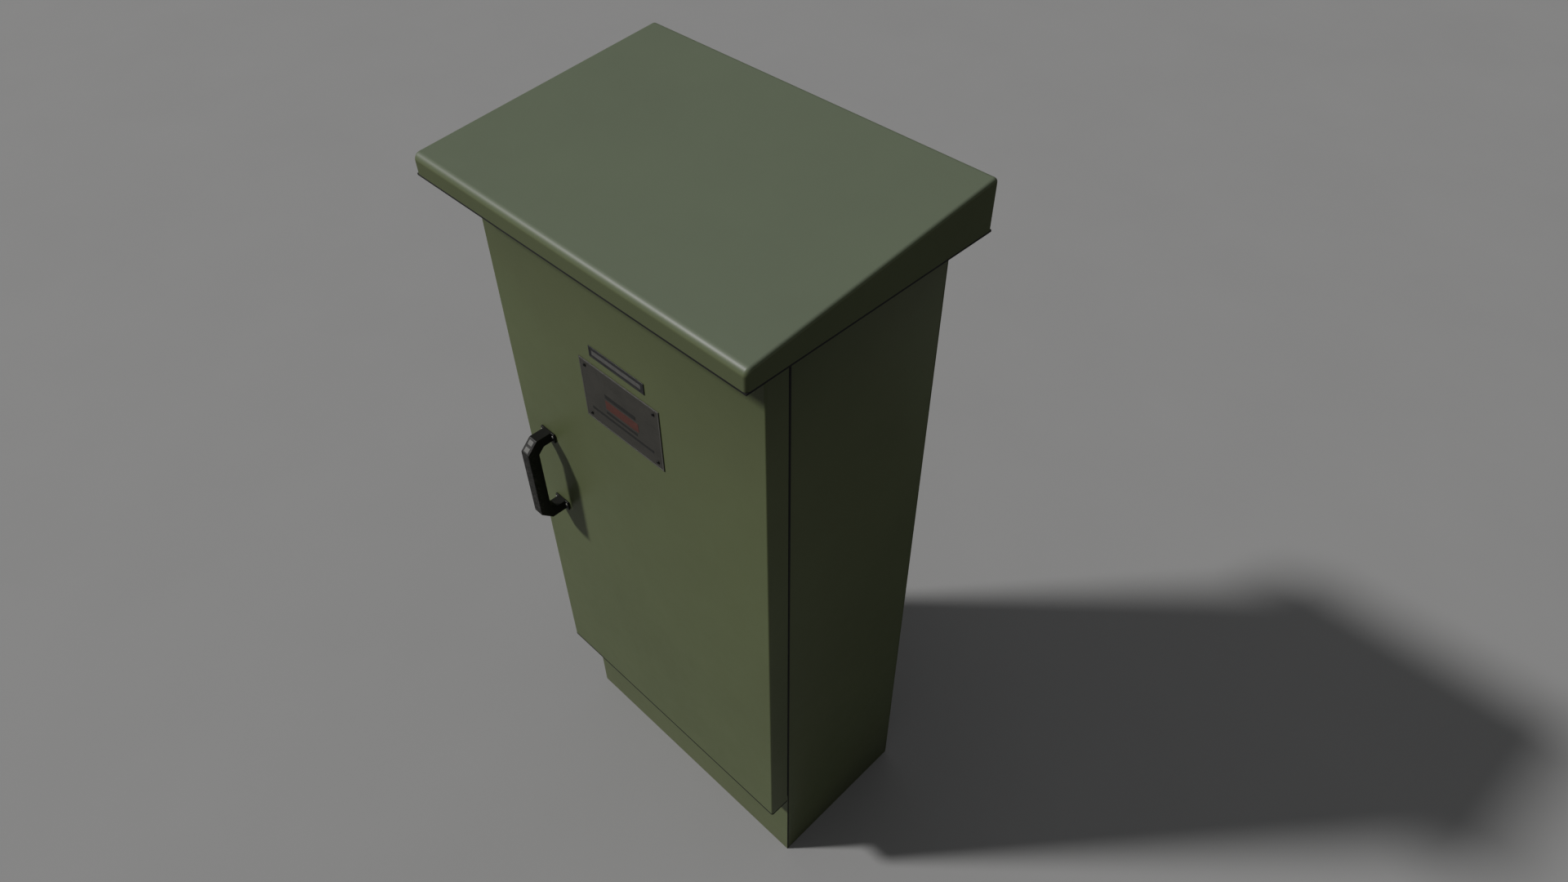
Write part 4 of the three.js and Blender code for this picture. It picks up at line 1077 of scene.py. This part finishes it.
def board_details():
    """Nuts on the studs, barriers between them, fixing screws, and a colour mark over each stud."""
    nuts = Shape("board_nuts", "copper", "brass")
    barriers = Shape("board_barriers", "laminate", edge=0.4)
    screws = Shape("board_screws", *STEEL)
    for name, studs in (("primary", PRIMARY_STUDS), ("secondary", SECONDARY_STUDS)):
        board = Board(name)
        face = board.face
        nuts.repeat(Shape.nut_on_stud, studs, [face - 5.4], [board.stud_z], 17, STUD_LENGTH - 5)
        for a, b in zip(studs, studs[1:]):
            barriers.slab(((a + b) / 2, face, board.z + 5), 4, 62, 20, 1.5, 0.8)
        screws.repeat(Shape.pan_screw, board.sides(9), [face], (board.bottom + 20, board.top - 9), 4.2)

    marks = {"blue_sheath": SECONDARY_STUDS[:1]}
    marks.update(zip(PHASE_SHEATHS, zip(PRIMARY_STUDS, SECONDARY_STUDS[1:])))
    board = Board("primary")
    for colour, xs in marks.items():
        discs = Shape(f"stud_marks_{colour}", "laminate", colour)
        for x in xs:
            discs.loft((x, board.face, board.top - 9), *circles(5, (0, 1), (0.5, 1), (0.7, 0.88)))


# ---- Switches and breakers ----

def switch_terminals(name, case, root, shoulder, poles, wells, ribs):
    """Wells with clamp plates and screws on both shoulders of a switch, and the barriers between them."""
    level, width, height = wells
    rib_xs, rib_low, rib_high, rib_edge = ribs
    recesses = Shape(f"{name}_wells", "switch_grey", edge=0.4)
    barriers = Shape(f"{name}_barriers", "switch_grey", edge=rib_edge)
    clamps = Shape(f"{name}_clamps", *TINNED, edge=0.3)
    screws = Shape(f"{name}_terminal_screws", *STEEL)
    for side in (-1, 1):
        for pole in poles:
            x, z = case.x + pole, case.z + side * level
            recesses.border((x, shoulder, z), width, height, 1.6, 1.2, 1.5)
            clamps.slab((x, shoulder, z), width - 7, height - 8, 2.2, 1.2, 0.5)
            screws.slotted_screw((x, shoulder - 2.2, z), (width - 9) * 0.34, 3.2)
        span = sorted((case.z + side * rib_low, case.z + side * rib_high))
        for x in rib_xs:
            barriers.block(around(case.x + x, 1.5), (root, shoulder + 1), span)


ISOLATOR_POLES = (-50, 0, 50)
ISOLATOR_LEVEL = 79
FEEDER_POLES = (-35, 0, 35)
FEEDER_LEVEL = 64


def isolator_details():
    """Dial ring, its on and off marks, terminals with barriers, corner screws, and the knob's pointer."""
    case = Box("isolator_body")
    face = case.front + 5
    dial = face - 1.4
    centre = (case.x, face, case.z)
    ring = Shape("isolator_dial", "switch_grey", "pale_label", edge=0.3)
    marks = Shape("isolator_marks", "switch_grey", "engraving")
    trim = Shape("isolator_trim", "switch_grey", edge=0.4)
    pointer = Shape("isolator_pointer", "knob_red", "pale_label", body="isolator_handle")
    knob_ring = Shape("isolator_knob_ring", "knob_red", edge=0.3, body="isolator_handle")
    ring.washer(centre, 53, 37.5, 1.4, 64)
    marks.slab((case.x, dial, case.z + 45), 2.6, 10, 0.3, 0.4)
    marks.washer((case.x - 45, dial, case.z), 5.2, 2.9, 0.3)
    for degrees in range(10, 90, 10):
        outwards = Vector((-sin(radians(degrees)), 0, cos(radians(degrees))))
        x, _, z = outwards * 45.5
        marks.slab((case.x + x, dial, case.z + z, FRONT, outwards), 0.9, 4, 0.25, 0.2)
    trim.border(centre, 138, 112, 2.2, 1.0, 5)
    trim.slab((case.x + 50, face, case.z - 44), 26, 13, 0.8, 1.5, 0.3)
    screws = Shape("isolator_screws", *STEEL)
    screws.repeat(Shape.pan_screw, around(case.x, 61), [face], around(case.z, 47), 4)

    wells = (ISOLATOR_LEVEL, 30, 27)
    ribs = ((-73, -25, 25, 73), 61, 94, 0.7)
    switch_terminals("isolator", case, face + 2, face + 26, ISOLATOR_POLES, wells, ribs)

    knob = Box("isolator_knob")
    pointer.slab((knob.x, knob.front, knob.top - 15), 2.6, 22, 0.3, 0.6)
    knob_ring.washer((knob.x, knob.front + 20, case.z), 29, 26.6, 0.9, 48)


def feeder_details():
    """Toggle surround, on and off marks, blank label, terminals with barriers, and corner screws."""
    case = Box("feeder_breaker")
    face = case.front
    centre = (case.x, face, case.z)
    trim = Shape("feeder_trim", "switch_grey", edge=0.35)
    label = Shape("feeder_label", "switch_grey", "pale_label", edge=0.1)
    marks = Shape("feeder_marks", "switch_grey", "pale_field")
    trim.border(centre, 99, 86, 1.8, 0.8, 3)
    trim.border(centre, 35, 33, 2.4, 1.4, 2)
    label.slab((case.x, face, case.z - 31), 68, 13, 0.5, 1)
    marks.slab((case.x, face, case.z + 24), 2, 8, 0.3, 0.3)
    marks.washer((case.x - 26, face, case.z - 12), 3.8, 2.3, 0.3)
    for x, z, length in ((0, -28.5, 56), (-7, -33.5, 42)):
        marks.slab((case.x + x, face - 0.5, case.z + z), length, 1.5, 0.2, 0.3)
    screws = Shape("feeder_screws", *STEEL)
    screws.repeat(Shape.pan_screw, around(case.x, 42), [face], around(case.z, 36), 3.6)

    wells = (FEEDER_LEVEL, 26, 28)
    ribs = ((-17.5, 17.5), 46, 82, 0.6)
    switch_terminals("feeder", case, face + 1, face + 12, FEEDER_POLES, wells, ribs)


BRANCHES = [f"branch_breaker_{number}" for number in (1, 2, 3)]
POLE_PITCH = 18


def branch_details():
    """Painted shade for the grooves between the poles and for the wire entries, terminal screws in wells,
    labels and rail clips.
    """
    groove_shades = Shape("branch_groove_shades", "module_grey", "painted_recess_shade")
    wells = Shape("branch_wells", "module_grey", edge=0.15)
    screws = Shape("branch_screws", *STEEL)
    labels = Shape("branch_labels", "module_grey", "grey_sheath", edge=0.1)
    clips = Shape("branch_clips", "toggle_black", edge=0.3)
    for case in map(Box, BRANCHES):
        front, shoulder = case.front, case.front + 14
        # painted shade: thin dark strips where the pole grooves are
        for x in around(case.x, POLE_PITCH / 2):
            for z in case.levels(10.5):
                groove_shades.block(around(x, 0.4), (shoulder - 0.15, shoulder + 1), around(z, 10))
            for z in around(case.z, 19.5):
                groove_shades.block(around(x, 0.4), (front - 0.15, front + 1), around(z, 2.6))
        for x in (case.x - POLE_PITCH, case.x, case.x + POLE_PITCH):
            for z in case.levels(9):
                wells.washer((x, shoulder, z), 5.8, 4.4, 0.5, 24)
                screws.pan_screw((x, shoulder, z), 4.1, 0.9)
            for out, z in ((UP, case.top), (-UP, case.bottom)):
                # painted shade: dark patches where the wires enter
                entry = rounded(9, 11, 3)
                groove_shades.loft((x, shoulder + 12, z, out), (-0.5, entry), (0.15, entry))
        labels.slab((case.x, front, case.z - 17), 42, 5, 0.3, 0.6)
        clips.slab((case.x, case.back - 9, case.bottom + 4), 13, 16, 3, 1.5, 0.6)


def rail_details():
    """End stops beside the breakers, painted shade for the slots along the web, and the rail's screws."""
    rail, first, last = Box("din_rail"), Box(BRANCHES[0]), Box(BRANCHES[-1])
    stops = Shape("rail_stops", "duct_grey", edge=1.0)
    slot_shades = Shape("rail_slot_shades", "galvanised", "painted_recess_shade")
    screws = Shape("rail_screws", *STEEL)
    stop_front = rail.front - 22
    web = rail.back - 1
    for x in (first.left - 6, last.right + 6):
        stops.block(around(x, 4.5), (stop_front, rail.front - 0.3), around(rail.z, 23))
        screws.pan_screw((x, stop_front, rail.z), 3.4)
    # painted shade: dark slabs on the web where its slots are
    for x in spread(*rail.sides(20), 17):
        if not first.left < x < last.right:
            slot_shades.slab((x, web, rail.z), 14, 5.4, 0.2, 2.6)
    screws.repeat(Shape.pan_screw, rail.sides(32.5), [web], [rail.z], 4.6, 2.4)


def plate_and_duct_details():
    """Bolts of the mounting plate, and the snap-on lid and rivets of the wiring duct."""
    plate = Box("mounting_plate")
    bolts = Shape("mounting_bolts", *STEEL)
    bolts.repeat(Shape.hex_bolt, plate.sides(40), [plate.front], plate.levels(50), 13)
    duct = Box("cable_duct")
    lid = Shape("duct_lid_ribs", "duct_grey", edge=0.3)
    for z in duct.levels(5):
        lid.slab((duct.x, duct.front, z), duct.width, 4, 1.1, 0, 0.6)
    for x in around(duct.x, 150):
        lid.slab((x, duct.front, duct.z), 1.2, 40, 0.4)
    rivets = Shape("duct_rivets", "duct_grey")
    rivets.repeat(Shape.rivet, spread(*duct.sides(50), 5), [duct.back - 2], [duct.top - 10], 3.2)


BAR_SCREW_SPAN = 96
BAR_SCREWS = 8


def bar_details():
    """Slotted clamp screws, and coloured insulators over the feet of the two bars."""
    screws = Shape("bar_screws", *STEEL)
    wide, narrow = rounded(24, 26, 4), rounded(20, 22, 4)
    foot = ((0, wide), (8, wide), (10, narrow), (16, narrow), (18, wide), (25.5, wide))
    for name, colour in (("neutral_bar", "blue_sheath"), ("earth_bar", "green_sheath")):
        bar = Box(name)
        xs = spread(*around(bar.x, BAR_SCREW_SPAN), BAR_SCREWS)
        screws.repeat(Shape.slotted_screw, xs, [bar.front + 5], [bar.z], 5.8, 5.6)
        feet = Shape(f"{name}_insulators", "duct_grey", colour, edge=0.6)
        for x in around(bar.x, 88):
            feet.loft((x, bar.back, bar.z), *foot)


# ---- Leads and wires ----

LEAD = 7  # radius of a power lead
SLEEVE = 7.9  # radius of the colour sleeves near its ends
CLEAT_Y, CLEAT_Z = 120, 1160
CLEAT_HALF = 12  # half the height and half the depth of a cleat
POST_SPREAD = 18


def lug(shape, hole, along, barrel, palm):
    """A crimped eye: a flat palm with a round end at the hole, and a barrel that points along the lead."""
    thick = 2.2
    hole = Vector(hole)
    across = along.cross(FRONT).normalized()
    outline = rounded(palm, palm, palm / 2)
    shape.loft(Place(*hole, up=along), (0, outline), (thick, outline))
    neck = palm * 0.7
    rings = []
    for reach, half_width, half_depth in (
        (4, palm / 2, thick / 2),
        (neck, palm / 2, thick / 2),
        (neck + 7, barrel, barrel),
        (neck + 23, barrel, barrel),
    ):
        middle = hole + along * reach + FRONT * (thick / 2)
        section = rounded(2, 2, 1 if half_depth > thick else 0.2)
        rings.append([middle + across * u * half_width + FRONT * v * half_depth for u, v in section])
    shape.skin(rings)
    return hole + along * (neck + 23) + FRONT * (thick / 2)


def cleat_and_posts(name, xs):
    """A two-part cleat over the leads, bolted to two hexagonal stand-offs."""
    plate_face = Box("mounting_plate").front - 0.3
    halves = Shape(f"{name}_cleat", "duct_grey", edge=0.5)
    bolts = Shape(f"{name}_cleat_bolts", *STEEL)
    middle = sum(xs) / len(xs)
    width = max(xs) - min(xs) + 2 * (LEAD + 9)
    y, z = CLEAT_Y, CLEAT_Z
    for near, far in ((y - CLEAT_HALF, y - 0.5), (y + 0.5, y + CLEAT_HALF)):
        halves.slab((middle, far, z), width, 2 * CLEAT_HALF, far - near, 4, 1.5)
    for x in around(middle, POST_SPREAD):
        bolts.hex_bolt((x, y - CLEAT_HALF, z), 8, 4)
        bolts.loft((x, plate_face, z), (0, hexagon(12)), (plate_face - y - CLEAT_HALF, hexagon(12)))


def power_leads(name, board, studs, terminals, shoulder, screw_z):
    """Three sleeved leads from a terminal board up to a switch, in place of the fused CAD harness."""
    harness = Box(name)
    leads = Shape(f"{name}_leads", "lead_black", stands_for=name)
    lugs = Shape(f"{name}_lugs", *TINNED, edge=0.4)
    for colour, x, end in zip(PHASE_SHEATHS, studs, terminals):
        low = lug(lugs, (x, board.face - 2.2, board.stud_z), UP, 6, 17)
        high = lug(lugs, (end, shoulder - 2.3, screw_z), -UP, 6, 17)
        middle_z = (board.stud_z + CLEAT_Z) / 2 + 20
        route = smooth_route([
            low - UP * 8, low + UP * 12, low + Vector((0, -12, 62)),
            ((x + end) / 2, (low.y + CLEAT_Y) / 2 - 6, middle_z), (end, CLEAT_Y - 2, CLEAT_Z - 50),
            (end, CLEAT_Y, CLEAT_Z), (end, CLEAT_Y, CLEAT_Z + 50), (end, CLEAT_Y + 1, harness.top - 90),
            high - UP * 16, high + UP * 6,
        ], 12)
        leads.tube(route, LEAD, 20)
        sleeves = Shape(f"{name}_{colour}", "lead_black", colour)
        for part in (route[2:20], route[-16:-5]):
            sleeves.tube(part, [SLEEVE - 0.8] + [SLEEVE] * (len(part) - 2) + [SLEEVE - 0.8], 18)
    cleat_and_posts(name, terminals)


def both_harnesses():
    """The leads to the isolator and to the feeder breaker."""
    isolator = Box("isolator_body")
    ends = [isolator.x + x for x in ISOLATOR_POLES]
    z = isolator.z - ISOLATOR_LEVEL
    power_leads("primary_harness", Board("primary"), PRIMARY_STUDS, ends, isolator.front + 31, z)
    feeder = Box("feeder_breaker")
    ends = [feeder.x + x for x in FEEDER_POLES]
    z = feeder.z - FEEDER_LEVEL
    power_leads("secondary_harness", Board("secondary"), SECONDARY_STUDS[1:], ends, feeder.front + 12, z)


def coil_leads():
    """Leads from the top of each coil up to the primary studs, in front of the clamp."""
    board = Board("primary")
    wires = Shape("coil_leads", "winding_resin", "red_sleeve")
    lugs = Shape("coil_lead_lugs", *TINNED, edge=0.3)
    for phase, x in zip(PHASES, PRIMARY_STUDS):
        coil = Box(f"hv_winding_{phase}")
        low = lug(lugs, (coil.x, coil.front - 12, coil.top - 26), UP, 4.4, 13)
        high = lug(lugs, (x, board.face - 0.1, board.stud_z), -UP, 4.4, 15)
        lean = (x - coil.x) * 0.12
        wires.tube(smooth_route([
            low - UP * 6, low + UP * 10, low + Vector((lean, -8, 34)),
            ((x + coil.x) / 2, coil.front - 20, (low.z + high.z) / 2 + 4),
            high + Vector((-lean, -13, -30)), high - UP * 9, high + UP * 6,
        ]), 4.6)


def coil_tails():
    """Leads from the low-voltage coils, out under the clamp and along it to the secondary studs."""
    board = Board("secondary")
    clamp = Box("core_clamp_upper_front")
    y = clamp.front - 16
    leads = Shape("coil_tails", "lead_black")
    lugs = Shape("coil_tail_lugs", *TINNED, edge=0.3)
    for i, (phase, x) in enumerate(zip(PHASES, SECONDARY_STUDS[1:])):
        coil = Box(f"lv_winding_{phase}")
        level = clamp.bottom + 16 + 17 * i
        high = lug(lugs, (x, board.face - 0.1, board.stud_z), -UP, 5, 16)
        leads.tube(smooth_route([
            (coil.x, coil.front + 4, coil.top - 6), (coil.x, coil.front - 12, coil.top + 3),
            (coil.x, y + 10, coil.top + 4),
            (coil.x + (4 if x > coil.x else -4), y, (coil.top + level) / 2 + 3),
            (coil.x + (26 if x > coil.x else 0), y, level),
            (x - (26 if x > coil.x + 60 else 0), y, level), (x, y + 2, level + 16),
            high + Vector((0, -8, -12)), high + UP * 8,
        ]), 5.4)


def branch_wiring():
    """Wires from the feeder breaker down its side into the duct, and from the duct to each branch pole."""
    feeder, duct = Box("feeder_breaker"), Box("cable_duct")
    front = feeder.front + 12
    for i, colour in enumerate(PHASE_SHEATHS):
        wires = Shape(f"branch_wires_{colour}", "lead_black", colour)
        x = feeder.x + FEEDER_POLES[i]
        outer = 14 + 7 * (2 - i)
        side, rise = feeder.right + outer, feeder.top + outer
        wires.tube(smooth_route([
            (x, front - 1.5, feeder.z + 66), (x, front - 3, feeder.top + 2),
            (x + 4, front + 8, rise - 2), (x + 26, front + 30, rise), (side - 16, duct.y - 8, rise - 2),
            (side, duct.y, rise - 20), (side, duct.y, feeder.z), (side, duct.y, duct.top + 40),
            (side, duct.y, duct.top - 12),
        ]), 3.4, 14)
        for case in map(Box, BRANCHES):
            x = case.x + POLE_PITCH * (i - 1)
            wires.tube(smooth_route([
                (x, case.front + 26, case.top - 4), (x, case.front + 26, case.top + 10),
                (x, case.front + 30, (case.top + duct.bottom) / 2), (x, duct.y - 3, duct.bottom - 8),
                (x, duct.y - 3, duct.bottom + 12),
            ], 8), 2.3, 12)


def neutral_and_earth():
    """The neutral lead up to its bar, and the striped earth wire from its bar down to the floor."""
    board, bar, earth = Board("secondary"), Box("neutral_bar"), Box("earth_bar")
    plate, floor = Box("mounting_plate"), Box("floor_plate")
    neutral = Shape("neutral_lead", "lead_black", "blue_sheath")
    green = Shape("earth_wire", "lead_black", "green_sheath")
    stripe = Shape("earth_wire_stripe", "lead_black", "yellow_sheath")
    lugs = Shape("neutral_and_earth_lugs", *TINNED, edge=0.3)
    angle = Shape("earth_angle", "galvanised", edge=0.6)
    bolts = Shape("floor_bolts", *STEEL)
    x, target = SECONDARY_STUDS[0], bar.x + BAR_SCREW_SPAN
    low = lug(lugs, (x, board.face - 2.2, board.stud_z), UP, 4.8, 16)
    high = lug(lugs, (target, bar.front + 4.8, bar.z), -UP, 4.8, 14)
    neutral.tube(smooth_route([
        low - UP * 6, low + UP * 12, low + Vector((-14, 10, 44)),
        ((x + target) / 2, (low.y + high.y) / 2 - 14, (low.z + high.z) / 2), high + Vector((10, -12, -36)),
        high - UP * 10, high + UP * 6,
    ]), 5)

    x, front, ground = plate.right - 30, plate.front, floor.top
    foot_y = front - 20
    top = lug(lugs, (earth.x + BAR_SCREW_SPAN, earth.front + 4.8, earth.z), -UP, 4.2, 13)
    route = smooth_route([
        top + UP * 6, top - UP * 12, top + Vector((16, 6, -46)),
        (x - 22, front - 9, plate.bottom + 34), (x, front - 6, plate.bottom - 24),
        (x, front - 4, plate.bottom - 200), (x, front - 4, ground + 120), (x, front - 8, ground + 46),
        (x, foot_y - 4, ground + 30),
    ], 12)
    green.tube(route, 4)
    stripe.ribbon(route, 4.12, 70)
    lug(lugs, (x, foot_y - 4, ground + 4.2), UP, 4.4, 14)
    angle.block(around(x, 13), (foot_y - 4, foot_y - 1), (ground, ground + 24))
    angle.block(around(x, 13), (foot_y - 4, foot_y + 24), (ground, ground + 3))
    bolts.hex_bolt((x, foot_y - 6.4, ground + 11), 9)
    bolts.hex_bolt((x, foot_y + 12, ground + 3, UP), 9)
    bolts.repeat(Shape.hex_bolt, (-330, 330), (floor.front + 30, floor.back - 30), [ground], 11, out=UP)


board_details()
isolator_details()
feeder_details()
branch_details()
rail_details()
plate_and_duct_details()
bar_details()
both_harnesses()
coil_leads()
coil_tails()
branch_wiring()
neutral_and_earth()

for shape in Shape.drawn:
    shape.make_piece()


# ---- Camera, floor and light ----

CAMERA_PLACE = (1.3409, -1.1342, 2.9550)
CAMERA_AZIMUTH = 44.32
CAMERA_ELEVATION = 44.67
FOCAL_LENGTH = 24.796
SENSOR_WIDTH = 36.0
FLOOR_TONE = 0.245
FLOOR_REACH = 40.0
LAMP_COLOUR = (1.0, 0.99, 0.975)
SKY_COLOUR = (0.985, 0.99, 1.0)
SKY_STRENGTH = 0.74
SKY_FALL = 5.0  # how steeply the sky falls off from overhead towards the dark horizon


def direction(azimuth, elevation):
    """A direction in degrees: azimuth from -Y towards +X, and elevation above the floor."""
    a, e = radians(azimuth), radians(elevation)
    return Vector((sin(a) * cos(e), -cos(a) * cos(e), sin(e)))


def add_looking(name, data, forward):
    """A camera or lamp that looks along a direction, with its upright edge towards +Z."""
    made = bpy.data.objects.new(name, data)
    made.rotation_mode = "QUATERNION"
    made.rotation_quaternion = forward.to_track_quat("-Z", "Y")
    COLLECTION.objects.link(made)
    return made


def add_camera():
    """The photograph's view: from above, past the front right corner."""
    data = bpy.data.cameras.new("camera")
    data.lens = FOCAL_LENGTH
    data.sensor_width = SENSOR_WIDTH
    data.clip_start = 0.01
    camera = add_looking("camera", data, -direction(CAMERA_AZIMUTH, CAMERA_ELEVATION))
    camera.location = CAMERA_PLACE
    bpy.context.scene.camera = camera


def add_floor():
    """A plain pale floor, far larger than the view."""
    mesh = bpy.data.meshes.new("floor")
    corners = [(x * FLOOR_REACH, y * FLOOR_REACH, 0) for x, y in ((-1, -1), (1, -1), (1, 1), (-1, 1))]
    mesh.from_pydata(corners, [], [(0, 1, 2, 3)])
    floor = bpy.data.objects.new("floor", mesh)
    s = Shader("pale_floor")
    tone = s.shades(s.noise(1.3, 5.0, 0.6), FLOOR_TONE, 1.0, 1.04)
    mesh.materials.append(s.finish(tone, 0.85, s.bump(s.noise(160.0, 4.0), 0.06, 0.001)))
    COLLECTION.objects.link(floor)


def add_sun(name, azimuth, elevation, strength, angle):
    """A soft distant lamp, given by where it comes from as seen from the object."""
    lamp = bpy.data.lights.new(name, "SUN")
    lamp.energy = strength
    lamp.angle = radians(angle)
    lamp.color = LAMP_COLOUR
    add_looking(name, lamp, -direction(azimuth, elevation))


def add_sky():
    """Soft, faintly cool overhead fill that falls off towards a dark horizon."""
    s = Shader("studio", bpy.data.worlds, "Generated")
    inputs = {0: s.axis(2), 1: SKY_FALL}
    height = s.node("Math", "Value", inputs, operation="POWER", use_clamp=True)
    background = s.tree.nodes["Background"]
    s.feed(background.inputs["Strength"], s.between(height, 0.0, SKY_STRENGTH))
    s.feed(background.inputs["Color"], SKY_COLOUR)
    bpy.context.scene.world = s.owner


add_camera()
add_floor()
add_sun("key_light", azimuth=-44.2, elevation=43.3, strength=3.05, angle=5.5)
add_sun("side_fill", azimuth=78, elevation=6, strength=0.115, angle=40)
add_sky()
